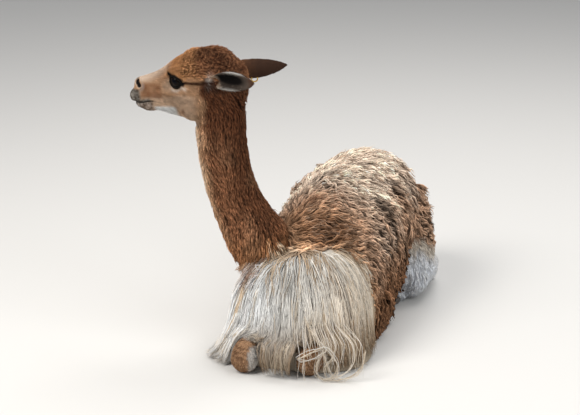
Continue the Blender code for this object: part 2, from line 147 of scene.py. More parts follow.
def edges_of(tris):
    """Every edge once."""
    pairs = np.sort(np.concatenate((tris[:, :2], tris[:, 1:], tris[:, ::2])), axis=1)
    keys = np.unique(pairs[:, 0].astype(np.int64) << 32 | pairs[:, 1])
    return np.stack((keys >> 32, keys & 0xFFFFFFFF), axis=1)


def vertex_normals(verts, tris):
    a, b, c = (verts[tris[:, k]] for k in range(3))
    face = np.cross(b - a, c - a)
    index = tris.T.ravel()
    total = np.stack([np.bincount(index, np.tile(face[:, k], 3), len(verts)) for k in range(3)], 1)
    return unit(total)


class Smoother:
    """Averages values over the neighbours of each vertex."""

    def __init__(self, count, edges):
        self.start = np.concatenate((edges[:, 0], edges[:, 1]))
        self.end = np.concatenate((edges[:, 1], edges[:, 0]))
        self.count = count
        self.links = np.maximum(np.bincount(self.start, minlength=count), 1)

    def once(self, values, share=0.5):
        columns = values.reshape(self.count, -1)
        mean = np.stack([np.bincount(self.start, columns[self.end, k], self.count)
                         for k in range(columns.shape[1])], 1) / self.links[:, None]
        share = np.asarray(share).reshape(-1, 1)
        return (columns + (mean - columns) * share).reshape(values.shape)

    def blur(self, values, rounds):
        for _ in range(rounds):
            values = self.once(values)
        return values

    def polish(self, verts, rounds, share=1.0):
        """Smooths without shrinking the form."""
        for _ in range(rounds):
            verts = self.once(verts, 0.50 * np.asarray(share))
            verts = self.once(verts, -0.52 * np.asarray(share))
        return verts


# ---------------------------------------------------------------- places taken from the frame
def centre_of(node):
    low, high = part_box(node)
    return np.array((low + high) / 2)


class HeadSpace:
    """X forwards along the face, Y to the animal's left, Z up from the floor, from the two eyes."""

    EYE_FORWARD = 0.083

    def __init__(self):
        left, right = centre_of("eye_left"), centre_of("eye_right")
        self.y = unit((left - right) * (1, 1, 0))
        self.x = np.cross(self.y, UP)
        middle = (left + right) / 2 * (1, 1, 0)
        self.origin = middle - self.x * self.EYE_FORWARD
        self.axes = np.stack((self.x, self.y, UP))

    def inside(self, points):
        return (points - self.origin) @ self.axes.T

    def outside(self, points):
        return points @ self.axes + self.origin

    def turn(self, vectors):
        """A direction in head space as one in the row frame."""
        return np.asarray(vectors) @ self.axes


head_space = HeadSpace()


def node_verts(name):
    return mesh_arrays(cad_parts[name].data)[0]


KNEE_REACH = 0.034  # from the knee's front to its middle
KNEE_HEIGHT = 0.033


def knee_centre(node):
    """The middle of the folded knee: the front end of the foreleg."""
    verts = node_verts(node)
    front = verts[:, 1].min()
    knob = verts[verts[:, 1] < front + KNEE_REACH + 0.001]
    return np.array((knob[:, 0].mean(), front + KNEE_REACH, KNEE_HEIGHT))


KNEES = {LEFT: knee_centre("foreleg_left"), RIGHT: knee_centre("foreleg_right")}


# ---------------------------------------------------------------- the skin
def joined_flesh():
    """Every flesh solid and both eyes in one mesh, each grown a little so that neighbours overlap."""
    whole = bmesh.new()
    for name in (*FLESH, *EYES):
        part = bmesh.new()
        part.from_mesh(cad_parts[name].data)
        bmesh.ops.remove_doubles(part, verts=part.verts, dist=1e-5)
        part.normal_update()
        for vert in part.verts:
            vert.co += vert.normal * SEAM_OVERLAP
        grown = bpy.data.meshes.new("grown")
        part.to_mesh(grown)
        part.free()
        whole.from_mesh(grown)
        bpy.data.meshes.remove(grown)
    mesh = bpy.data.meshes.new("flesh")
    whole.to_mesh(mesh)
    whole.free()
    return mesh


def with_modifier(mesh, kind, groups=None, **settings):
    """The mesh after one modifier."""
    holder = bpy.data.objects.new("holder", mesh)
    bpy.context.scene.collection.objects.link(holder)
    if groups is not None:
        group = holder.vertex_groups.new(name="share")
        for weight in np.unique(groups):
            group.add([int(i) for i in np.nonzero(groups == weight)[0]], float(weight), "REPLACE")
    modifier = holder.modifiers.new("step", kind)
    for key, value in settings.items():
        setattr(modifier, key, value)
    graph = bpy.context.evaluated_depsgraph_get()
    result = bpy.data.meshes.new_from_object(holder.evaluated_get(graph), depsgraph=graph)
    bpy.data.objects.remove(holder)
    return result


def surface_of(names):
    """The surface of some CAD nodes, to measure from, and the place in names of each face's node."""
    corners, faces, owner = [], [], []
    for index, name in enumerate(names):
        verts, tris = mesh_arrays(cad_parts[name].data)
        faces.extend((tris + sum(len(c) for c in corners)).tolist())
        corners.append(verts)
        owner.extend([index] * len(tris))
    return BVHTree.FromPolygons(np.concatenate(corners).tolist(), faces), owner


def node_labels(points):
    """Which flesh solid each point is nearest to."""
    tree, owner = surface_of(FLESH)
    return np.array([owner[tree.find_nearest(p)[2]] for p in points.tolist()])


def new_mesh(name, verts, tris):
    """A mesh from arrays."""
    mesh = bpy.data.meshes.new(name)
    mesh.vertices.add(len(verts))
    mesh.vertices.foreach_set("co", np.asarray(verts, np.float32).ravel())
    mesh.loops.add(tris.size)
    mesh.loops.foreach_set("vertex_index", np.asarray(tris, np.int32).ravel())
    mesh.polygons.add(len(tris))
    mesh.polygons.foreach_set("loop_start", np.arange(0, tris.size, 3, dtype=np.int32))
    mesh.update(calc_edges=True)
    mesh.shade_smooth()
    return mesh


def coat_depths(verts, labels):
    """How far the skin lies under the tips of the coat: deeper on crown and jaw, less on the muzzle."""
    x, _, z = head_space.inside(verts).T
    crown = ramp(z, 0.69, 0.73) * ramp(x, 0.09, 0.05)
    jaw = ramp(x, 0.05, 0.0) * ramp(z, 0.66, 0.62)
    own = 0.004 * np.maximum(crown, jaw) - 0.0018 * ramp(x, 0.13, 0.17)
    return COAT_DEPTH[labels] + own * (labels == HEAD)


STEEP = 0.45  # a normal's level part, above which a low face counts as a wall
UNDERSIDE_ROUNDS = 30


def drawn_in(verts, tris, smoother, depth, steps=4):
    """Moves the surface inwards by the coat's depth, and keeps what rests on the floor there."""
    for _ in range(steps):
        normals = vertex_normals(verts, tris)
        move = normals * depth[:, None] / steps
        level = np.linalg.norm(normals[:, :2], axis=1)
        low = ramp(verts[:, 2], 0.032, 0.016)
        wall = np.where(level > STEEP, depth / steps / np.maximum(level, STEEP), 0.0)[:, None]
        sideways = normals[:, :2] * wall
        under = (low > 0.5) & (level <= STEEP)
        known = np.where(under, 0.0, 1.0)
        for _ in range(UNDERSIDE_ROUNDS):  # the underside follows the walls round it
            spread = smoother.once(np.column_stack((sideways * known[:, None], known)), 1.0)
            fresh = spread[:, :2] / np.maximum(spread[:, 2:], 1e-3)
            reached = under & (spread[:, 2] > 0.05)
            sideways[reached] = fresh[reached]
            known[reached] = 1.0
        move[:, :2] += (sideways - move[:, :2]) * low[:, None]
        move[:, 2] *= ramp(verts[:, 2], 0.004, 0.035)
        verts = verts - smoother.blur(move, 2)
    verts[:, 2] = np.maximum(verts[:, 2], SKIN_FLOOR)
    return verts


EYE_RADIUS = 0.0178
EYE_PLACE = np.array((HeadSpace.EYE_FORWARD, 0.0365, 0.678))
EYE_OUT = unit(np.array((0.30, 0.94, 0.10)))
EYE_TILT = math.radians(22.0)
EYE_ALONG = np.array((math.cos(EYE_TILT), 0.0, math.sin(EYE_TILT)))
EYE_ALONG = unit(EYE_ALONG - EYE_OUT * (EYE_ALONG @ EYE_OUT))
EYE_ABOVE = np.cross(EYE_ALONG, EYE_OUT)
LID_HALF_LENGTH = 0.0166
LID_UPPER, LID_LOWER = 0.0080, 0.0148
UPPER_POINT, LOWER_POINT = 0.95, 1.25  # how pointed each lid's arch is
LID_THICKNESS = 0.0014


def lid_gap(along, above):
    """Distance outside the opening between the lids, negative inside it, in the eye's own plane."""
    share = np.clip(1.0 - (along / LID_HALF_LENGTH) ** 2, 0.0, 1.0)
    over = above - LID_UPPER * share ** (UPPER_POINT / 2)
    under = -LID_LOWER * share ** (LOWER_POINT / 2) - above
    beyond = abs(along) - LID_HALF_LENGTH
    return np.maximum(np.maximum(over, under), beyond)


def eye_coordinates(place):
    """Along the opening, above it and out of the head, and the distance from the eyeball's middle."""
    away = place - EYE_PLACE
    return away @ EYE_ALONG, away @ EYE_ABOVE, away @ EYE_OUT, np.linalg.norm(away, axis=1)


def mouth_height(forward):
    """Height of the line between the lips."""
    return 0.6175 + 0.0035 * ramp(forward, 0.178, 0.150) - 0.0020 * bump(forward - 0.182, 0.012)


NOSTRIL = np.array(((0.1900, 0.0105, 0.6690), (0.1815, 0.0180, 0.6575)))
NOSTRIL_WIDTH = 0.0048


def nostril_distance(place):
    return line_distance(place, NOSTRIL)


def sculpted_head(verts, tris):
    """Lids round the eyes, nostrils, the mouth and the split lip, worked on both sides at once."""
    place = head_space.inside(verts)
    side = np.where(place[:, 1] < 0, -1.0, 1.0)
    place[:, 1] *= side
    normal = vertex_normals(verts, tris) @ head_space.axes.T
    normal[:, 1] *= side
    on_head = (place[:, 0] > -0.06) & (place[:, 2] > 0.57)
    # nostrils: a deep comma with a raised rim
    gap = nostril_distance(place)
    face = on_head & (normal[:, 1] > -0.3)
    dent = 0.0085 * bump(gap, NOSTRIL_WIDTH) - 0.0012 * bump(gap - 0.0082, 0.0024)
    # the line of the mouth, with a fuller lip above and below it
    height = place[:, 2] - mouth_height(place[:, 0])
    reach = ramp(place[:, 0], 0.146, 0.156)
    dent = dent + reach * (0.0030 * bump(height, 0.0013) - 0.0009 * bump(abs(height) - 0.0050, 0.0028))
    # the split in the upper lip and the groove up to the nose
    front = ramp(normal[:, 0], 0.25, 0.7) * ramp(place[:, 0], 0.17, 0.185)
    split = bump(place[:, 1], 0.0014) * ramp(place[:, 2], 0.617, 0.622) * ramp(place[:, 2], 0.668, 0.655)
    dent = dent + 0.0020 * front * split
    # a soft fold behind the corner of the mouth and another from the eye to the ear
    corner = np.hypot(place[:, 0] - 0.147, place[:, 2] - 0.622)
    dent = dent + 0.0012 * bump(corner, 0.0045) * ramp(place[:, 1], 0.010, 0.018)
    crease = place[:, 2] - (0.6765 - 0.06 * (place[:, 0] - 0.040))
    behind = ramp(place[:, 0], 0.068, 0.058) * ramp(place[:, 0], 0.000, 0.015)
    dent = dent + 0.0018 * bump(crease, 0.0055) * behind * ramp(place[:, 1], 0.02, 0.03)
    place = place - normal * np.where(face & on_head, dent, 0.0)[:, None]
    # lids: the skin lies on the eyeball near the opening and dives behind it inside the opening
    along, above, out, distance = eye_coordinates(place)
    gap = lid_gap(along, above)
    near = (out > 0.0) & (distance < 0.034) & on_head
    hug = ramp(gap, 0.0090, 0.0)
    lid = EYE_RADIUS + LID_THICKNESS + 0.0006 * bump(gap - 0.001, 0.0018)
    lid = lid - 0.0010 * bump(gap - 0.0045, 0.0014) * (above > 0)
    target = np.maximum(distance, EYE_RADIUS + 0.0008) * (1 - hug) + lid * hug
    dive = ramp(gap, 0.0003, -0.0016)
    target = target * (1 - dive) + (EYE_RADIUS - 0.0035) * dive
    scale = np.where(near, target / np.maximum(distance, 1e-6), 1.0)
    place = EYE_PLACE + (place - EYE_PLACE) * scale[:, None]
    place[:, 1] *= side
    return head_space.outside(place)


def refined(mesh, wanted):
    """Splits the faces whose vertices are all wanted into four."""
    bm = bmesh.new()
    bm.from_mesh(mesh)
    bm.verts.ensure_lookup_table()
    chosen = [e for e in bm.edges if wanted[e.verts[0].index] and wanted[e.verts[1].index]]
    bmesh.ops.subdivide_edges(bm, edges=chosen, cuts=1, use_grid_fill=True, smooth=0.0)
    bmesh.ops.triangulate(bm, faces=[f for f in bm.faces if len(f.verts) > 3])
    bm.to_mesh(mesh)
    bm.free()
    return mesh


def fine_zone(verts, margin):
    """The skin within a margin of the lids, nostrils and mouth, which needs smaller faces."""
    place = head_space.inside(verts)
    place[:, 1] = abs(place[:, 1])
    along, above, out, distance = eye_coordinates(place)
    near_lids = (abs(lid_gap(along, above)) < margin) & (distance < 0.030) & (out > 0.0)
    near_nostril = nostril_distance(place) < margin
    front = (place[:, 0] > 0.146 - margin) & (place[:, 2] > 0.58)
    near_mouth = front & (abs(place[:, 2] - mouth_height(place[:, 0])) < margin * 0.6)
    near_split = (place[:, 0] > 0.180) & (place[:, 1] < margin * 0.6) & (place[:, 2] < 0.672)
    return near_lids | near_nostril | near_mouth | near_split


FACET_ROUNDS, POLISH_ROUNDS, FINE_POLISH_ROUNDS, DEPTH_ROUNDS = 34, 14, 6, 140
EAR_DEPTH = 0.0012  # most that the skin of an ear may lie under its coat
KNEE_GROWTH = 0.0022  # breadth given back to the knees on every side
FINE_MARGINS = (0.009, 0.006)  # round lids, nostrils and mouth; faces are split once for each
FINE_POLISH = 0.012  # the margin that is smoothed after that


def soft_share(verts, labels):
    """How much of the solids' facets and lumps to smooth away: least on the muzzle and the ears."""
    muzzle = ramp(head_space.inside(verts)[:, 0], 0.135, 0.165) * (labels == HEAD)
    return np.where(np.isin(labels, EARS), 0.10, 0.5 - 0.5 * muzzle)


def grown_back(verts, tris, labels):
    """Gives the rounded knees back the breadth that smoothing takes."""
    knees = np.isin(labels, FORELEGS) & (verts[:, 1] < -0.08)
    return verts + vertex_normals(verts, tris) * np.where(knees, KNEE_GROWTH, 0.0)[:, None]


def build_skin():
    """One closed surface under the whole coat."""
    mesh = with_modifier(joined_flesh(), "REMESH", mode="VOXEL", voxel_size=SKIN_VOXEL)
    verts, tris = mesh_arrays(mesh)
    smoother = Smoother(len(verts), edges_of(tris))
    labels = node_labels(verts)
    thin = np.isin(labels, EARS)
    share = soft_share(verts, labels)
    for _ in range(FACET_ROUNDS):
        verts = smoother.once(verts, share)
    verts = smoother.polish(verts, POLISH_ROUNDS, np.where(thin, 0.7, 1.0))
    verts = grown_back(verts, tris, labels)
    depth = smoother.blur(coat_depths(verts, labels), DEPTH_ROUNDS)
    depth = np.where(thin, np.minimum(depth, EAR_DEPTH), depth)
    verts = drawn_in(verts, tris, smoother, depth)
    mesh = new_mesh("skin", verts, tris)
    keep_fine = np.isin(labels, (HEAD,) + EARS)
    mesh = with_modifier(mesh, "DECIMATE", groups=np.where(keep_fine, 0.0, 1.0),
                         ratio=SKIN_FACES / len(tris), vertex_group="share",
                         use_collapse_triangulate=True)
    for margin in FINE_MARGINS:
        verts, _ = mesh_arrays(mesh)
        mesh = refined(mesh, fine_zone(verts, margin))
    verts, tris = mesh_arrays(mesh)
    smoother = Smoother(len(verts), edges_of(tris))
    verts = smoother.polish(verts, FINE_POLISH_ROUNDS, fine_zone(verts, FINE_POLISH).astype(float))
    verts = sculpted_head(verts, tris)
    return verts, tris


skin_verts, skin_tris = build_skin()
skin_labels = node_labels(skin_verts)
skin_normals = vertex_normals(skin_verts, skin_tris)


# ---------------------------------------------------------------- markings and painted light and shade, shared by skin and coat
RUST = (0.245, 0.108, 0.053)
RUST_DARK = (0.090, 0.032, 0.014)
GOLD = (0.420, 0.205, 0.088)
TAN = (0.470, 0.280, 0.160)
PALE_TAN = (0.580, 0.420, 0.300)
PALE_BRIDGE = (0.600, 0.480, 0.380)
WHITE = (0.710, 0.685, 0.640)
CREAM = (0.600, 0.490, 0.360)
DUSTY_CREAM = (0.500, 0.395, 0.280)
STRAW = (0.340, 0.215, 0.115)
SHOULDER = (0.250, 0.128, 0.062)
SHOULDER_DARK = (0.115, 0.052, 0.024)
FLEECE = (0.425, 0.262, 0.168)
FLEECE_BROWN = (0.200, 0.100, 0.052)
FLEECE_DUST = (0.640, 0.510, 0.400)
EAR_BROWN = (0.055, 0.028, 0.018)
LIP_GREY = (0.180, 0.172, 0.155)
SOOT = (0.012, 0.009, 0.008)
# bluish white, painted light on the bib's side towards the animal's right
PAINTED_LIGHT_WHITE = (0.780, 0.790, 0.790)
# white with a blue cast that is painted sky light of the shade under the body
SHANK_WHITE = (0.860, 0.880, 0.920)
JAW_WHITE = (0.900, 0.890, 0.870)
CHIN_GREY = (0.260, 0.215, 0.185)
NOSTRIL_RIM = (0.330, 0.270, 0.230)
KNEE_GOLD = (0.460, 0.270, 0.150)
EAR_WOOL = (0.120, 0.092, 0.074)

BIB_SURFACE = surface_of(["chest_bib"])[0]
BIB_REACH = 0.034  # how far the bib's pale colour runs up into the coat round it
NECK_FOOT = (-0.043, -0.055, 0.270)
# where the pale colour climbs the neck's foot: place and reach
PALE_RISE = ((NECK_FOOT, 0.040), ((-0.064, -0.071, 0.248), 0.034), ((0.004, -0.022, 0.274), 0.030))
THROAT_POINT = np.array(((-0.098, -0.072, 0.250), (-0.078, -0.098, 0.222)))
SHOULDER_MIDDLE, SHOULDER_SPOT = (0.0, -0.02, 0.27), (0.045, 0.040, 0.300)
SHOULDER_SCALE = (1.0, 0.8, 1.0)
# the fold that opens in the matted wool of the left flank, from the top down, and how much a distance
# from it counts: less across the flank's depth than along its surface. The locks beside it stand up, and
# along it the wool is darkened as painted shadow.
FOLD_SCALE = np.array((0.35, 1.0, 1.0))
FOLD = np.array(((0.118, 0.255, 0.318), (0.139, 0.273, 0.290), (0.148, 0.272, 0.274),
                 (0.158, 0.275, 0.250), (0.167, 0.268, 0.222), (0.170, 0.250, 0.200)))
BAND_STEP = 0.0088  # between the dark bands of the crown and of the knees


def layered(points, ground, *layers):
    """A ground colour with other colours laid over it in their order, each by its share."""
    colour = np.broadcast_to(ground, points.shape)
    for tint, share in layers:
        colour = mix(colour, tint, share)
    return colour


def bib_share(points):
    """1 beside the bib and 0 beyond its reach, in streaks."""
    share = np.zeros(len(points))
    near = np.nonzero((points[:, 2] < 0.36) & (points[:, 1] < 0.14))[0]
    for index in near.tolist():
        found = BIB_SURFACE.find_nearest(points[index].tolist(), BIB_REACH)
        if found[3] is not None:
            share[index] = 1.0 - found[3] / BIB_REACH
    for spot, reach in PALE_RISE:
        rise = gap_to(points, spot)
        share = np.maximum(share, 1.05 * bump(rise, reach) * (rise < 2 * reach))
    streak = 0.28 * noise(points * (1.0, 1.0, 0.25), 0.006, 13) + 0.22 * noise(points, 0.03, 14)
    return ramp(share + streak * (share > 0), 0.25, 0.95)


def throat_share(points):
    """The point of rust hair that hangs from the neck over the top of the bib."""
    along, away = beside_line(points, *THROAT_POINT)
    streak = 0.30 * noise(points * (1.0, 1.0, 0.3), 0.006, 19)
    return ramp(away / (0.040 - 0.016 * along) + streak, 1.15, 0.65)


def wavy_bands(place, low, high):
    return ramp(np.sin(place / BAND_STEP * math.tau), low, high)


def crown_bands(points):
    """Dark wavy bands across the sides of the crown, as shares of darkness."""
    x, y, z = head_space.inside(points).T
    warp = x + 0.30 * (z - 0.71) + 0.007 * noise(points, 0.020, 27)
    bands = wavy_bands(warp, -0.2, 0.8) * ramp(noise(points, 0.016, 28), -0.6, 0.0)
    return bands * ramp(x, 0.082, 0.066) * ramp(z, 0.692, 0.702) * ramp(abs(y), 0.008, 0.018)


def head_colour(points, normals):
    """Crown, face, muzzle, lips and the pale and dark marks on them, among them painted shade in the
    crease, the groove, the mouth line and the nostrils and under the ear, and a painted highlight on the
    nose's bridge.
    """
    place = head_space.inside(points)
    place[:, 1] = abs(place[:, 1])
    x, y, z = place.T
    wobble = noise(points, 0.022, 3) * 0.006
    upwards = (normals @ head_space.axes.T)[:, 2]
    on_side = ramp(y, 0.02, 0.03)
    crown = ramp(x + wobble, 0.072, 0.020) * ramp(z + wobble, 0.680, 0.705)
    swirl = ramp(noise(points, 0.010, 15) + 0.6 * noise(points, 0.022, 16), 0.0, 0.9)
    before_eye = bump(np.hypot((x - 0.108) / 1.1, (z - 0.668) / 1.3), 0.012)
    # the cheek turns pale below a line from the mouth's corner to under the ear
    line = 0.634 + 0.010 * ramp(x, 0.150, 0.090) + wobble
    cheek = ramp(z, line + 0.006, line - 0.005) * ramp(x, 0.160, 0.146) * ramp(x, 0.028, 0.052)
    muzzle = ramp(x, 0.118, 0.135) * ramp(x, 0.184, 0.172)
    muzzle = muzzle * ramp(z, 0.672, 0.660) * ramp(z, 0.628, 0.634)
    # painted shade in the groove behind the nostril
    groove = bump(np.hypot((x - 0.168) / 0.8, (z - 0.650) / 1.6), 0.0065) * ramp(y, 0.010, 0.018)
    jaw = 0.614 - 0.10 * (x - 0.120) + wobble
    jaw = ramp(z, jaw, jaw - 0.008) * ramp(x, 0.152, 0.142) * ramp(x, 0.084, 0.098)
    spot = ramp(noise(points, 0.011, 18), 0.05, 0.60) * ramp(z, 0.642, 0.625) * bump(x - 0.068, 0.028)
    # behind the jaw the head has the neck's colours
    rear = ramp(x, 0.012, -0.006)
    behind = ramp(x + 2 * wobble, 0.034, 0.008) * ramp(z, 0.700, 0.680)
    # dark brown behind the jaw: part real colour, part painted shade under the ear
    dark = ramp(x + 2 * wobble, 0.036, 0.012) * ramp(z, 0.696, 0.678) * ramp(z, 0.575, 0.605)
    # painted shadow under the ear
    painted_shadow_under_ear = bump(z - 0.672, 0.010) * ramp(x, 0.024, 0.010) * ramp(y, 0.018, 0.030)
    ear_root = bump(np.hypot(x - 0.006, (z - 0.688) / 1.5), 0.0075) * ramp(y, 0.030, 0.040)
    # painted shadow along the crease from the eye to the ear
    crease_z = 0.6765 - 0.06 * (x - 0.040)
    crease = bump(z - crease_z, 0.0040) * ramp(x, 0.070, 0.064) * ramp(x, -0.012, 0.0)
    brow = bump(z - crease_z - 0.009, 0.0055) * ramp(x, 0.064, 0.056) * ramp(x, 0.016, 0.026)
    along, above, out, distance = eye_coordinates(place)
    gap = lid_gap(along, above)
    near = (distance < 0.045) & (out > 0)
    below = ramp(above, 0.000, -0.008) * ramp(along, 0.020, 0.000)
    duct = bump(np.hypot((along - 0.0225) / 1.5, above - 0.0075), 0.0048)
    lids = near * np.maximum(ramp(gap, 0.0062, 0.0036), np.clip(1.6 * duct, 0, 1))
    mouth = mouth_height(x)
    lips = np.maximum(ramp(x, 0.176, 0.186) * ramp(z, 0.652, 0.646),
                      ramp(x, 0.150, 0.160) * bump(z - mouth - 0.003, 0.0068))
    blotch = np.clip(0.85 + 1.05 * noise(points, 0.0034, 20), 0.25, 2.2)[:, None]
    nostril = nostril_distance(place)
    rim = bump(nostril - 0.0105, 0.0034) * ramp(x, 0.186, 0.176) * ramp(z, 0.668, 0.660)
    return layered(
        points, TAN,
        (GOLD, ramp(z + wobble, 0.664, 0.690)),
        (RUST, crown),
        (RUST_DARK, 0.72 * crown * swirl),
        (RUST_DARK, 0.22 * ramp(x + wobble, 0.050, 0.000) * ramp(z, 0.690, 0.715)),
        # painted highlight along the top of the nose's bridge, where it faces up
        (PALE_BRIDGE, 0.72 * ramp(upwards, 0.15, 0.75) * ramp(x, 0.098, 0.13)),
        (PALE_TAN, 0.75 * before_eye),
        (PALE_TAN, 0.75 * cheek),
        (RUST, 0.88 * muzzle * (0.85 + 0.3 * noise(points, 0.008, 17))),
        (RUST_DARK, 0.45 * groove),
        (JAW_WHITE, jaw),
        (RUST, 0.60 * spot),
        (RUST, 0.95 * behind * np.maximum(ramp(y, 0.004, 0.020), rear)),
        (RUST_DARK, 0.95 * dark * np.maximum(ramp(y, 0.010, 0.025), 0.8 * rear)),
        (SOOT, 0.65 * painted_shadow_under_ear),
        (WHITE, 0.62 * ear_root),
        (RUST_DARK * np.array(0.4), np.clip(1.15 * crease, 0, 0.97) * on_side),
        (TAN, 0.55 * brow * on_side),
        (WHITE, 0.48 * near * bump(gap - 0.0095, 0.0040) * below),
        (SOOT, lids),
        (LIP_GREY * blotch, 0.92 * lips),
        # painted shade in the line between the lips
        (SOOT, 0.85 * ramp(x, 0.142, 0.152) * bump(z - mouth, 0.0022)),
        (CHIN_GREY * blotch, 0.85 * ramp(x, 0.146, 0.156) * ramp(z, mouth, mouth - 0.004)),
        (LIP_GREY, 0.75 * ramp(x, 0.184, 0.190) * ramp(z, 0.664, 0.676)),
        (NOSTRIL_RIM, 0.70 * rim),
        # painted shade inside the nostrils
        (SOOT, ramp(nostril, 0.0064, 0.0046)))


def neck_colour(points, normals):
    """Rust brown, darkest behind the jaw and down the nape, darker high up partly as painted shade under
    the head, and paler down the throat.
    """
    z = points[:, 2]
    front = (normals @ head_space.axes.T)[:, 0] + noise(points, 0.03, 5) * 0.12
    high = ramp(z, 0.44, 0.58)
    pale = bib_share(points)
    return layered(
        points, RUST,
        (RUST_DARK, 0.70 * ramp(front, 0.05, -0.7)),
        # darker high on the neck's sides and back and at its top: partly painted shade under the head
        (RUST_DARK, 0.70 * high * ramp(front, 0.5, 0.1)),
        (RUST_DARK, 0.85 * ramp(z, 0.555, 0.600) * ramp(front, 0.5, 0.2)),
        (TAN, 0.9 * ramp(front, 0.22, 0.66) * ramp(z, 0.26, 0.36)),
        (PALE_TAN, 0.85 * ramp(front, 0.55, 0.88) * ramp(z, 0.34, 0.44)),
        (WHITE, 0.5 * ramp(front, 0.90, 0.99) * ramp(z, 0.42, 0.50)),
        (TAN, 0.26 * ramp(noise(points, 0.05, 6), 0.0, 0.8) * (1 - high)),
        (GOLD, 0.40 * ramp(z, 0.34, 0.26)),
        (GOLD, 0.7 * ramp(pale, 0.0, 0.5)),
        (CREAM, 0.8 * ramp(pale, 0.35, 1.0)))


def trunk_colour(points, normals):
    """Tan fleece, dusty on top and browner low on the sides, at the shoulder and behind."""
    wobble = noise(points, 0.06, 7)
    shoulder = np.linalg.norm((points - SHOULDER_MIDDLE) * SHOULDER_SCALE, axis=1)
    beside = np.linalg.norm((points - SHOULDER_SPOT) * SHOULDER_SCALE, axis=1)
    rear = ramp(points[:, 1] + 0.05 * wobble, 0.36, 0.50) * ramp(normals[:, 2], 0.65, 0.25)
    upwards = ramp(normals[:, 2] + 0.22 * wobble, 0.30, 0.80)
    pale = bib_share(points)
    return layered(
        points, FLEECE,
        (FLEECE_BROWN, ramp(points[:, 2] + 0.05 * wobble, 0.27, 0.11)),
        (SHOULDER, 0.75 * ramp(shoulder + 0.03 * wobble, 0.170, 0.095)),
        (SHOULDER_DARK, 0.76 * ramp(beside + 0.035 * wobble, 0.082, 0.040)),
        (FLEECE_BROWN, 0.75 * rear),
        (FLEECE_DUST, 0.90 * upwards * ramp(shoulder, 0.15, 0.24)),
        (TAN, 0.60 * pale ** 1.5),
        (CREAM, 0.60 * ramp(gap_to(points, NECK_FOOT), 0.060, 0.030) * pale))


def bib_colour(points, normals):
    """White at the top, creamier towards the floor and the animal's left, and whiter towards the
    animal's right as painted light.
    """
    x, _, z = points.T
    wobble = noise(points, 0.05, 9)
    low = ramp(z + 0.03 * wobble, 0.15, 0.02)
    side = ramp(x + 0.03 * wobble, 0.00, 0.13)
    return layered(
        points, WHITE,
        # whiter towards the animal's right: painted light
        (PAINTED_LIGHT_WHITE, ramp(x, 0.02, -0.07)),
        (CREAM, 0.85 * low),
        (CREAM, 0.7 * side),
        (STRAW, 0.6 * ramp(noise(points, 0.012, 10), 0.2, 0.9) * ramp(low + side, 0.2, 1.0)),
        (RUST, 0.9 * throat_share(points)))


def foreleg_colour(points, normals):
    """Golden knees with fine dark bands and white sides."""
    left = points[:, 0] > 0
    out = points[:, 0] - np.where(left, KNEES[LEFT][0], KNEES[RIGHT][0])
    warp = points[:, 2] + 0.004 * noise(points, 0.012, 24)
    ripple = 1.8 * noise(points, 0.011, 25) + 1.5 * noise(points, 0.0042, 22)
    inner = out - np.where(left, 0.016, 0.0) + 0.005 * noise(points, 0.006, 11)
    white = np.maximum(ramp(inner, 0.011, 0.020), ramp(-out, 0.026, 0.032))
    return layered(
        points, KNEE_GOLD,
        (RUST_DARK, 0.68 * wavy_bands(warp + ripple * BAND_STEP / math.tau, -0.2, 0.9)),
        (WHITE, 0.85 * white),
        (RUST, 0.4 * ramp(points[:, 2], 0.020, 0.006)))


def woolly_leg(points):
    """Where wool covers the upper and rear part of a hind leg."""
    wobble = noise(points, 0.02, 12)
    return ramp(points[:, 2] + 0.57 * (points[:, 1] - 0.42) + 0.010 * wobble, 0.182, 0.205)


def hindleg_colour(points, normals):
    """White shanks and stifles that turn brown behind and on top."""
    rise = points[:, 2] + 0.3 * (points[:, 1] - 0.45) + 0.02 * noise(points, 0.02, 26)
    return layered(points, SHANK_WHITE, (CREAM, 0.8 * ramp(rise, 0.10, 0.16)),
                   (FLEECE, woolly_leg(points)))


def tail_colour(points, normals):
    return layered(points, FLEECE, (CREAM, 0.5 * ramp(points[:, 1], 0.63, 0.66)))


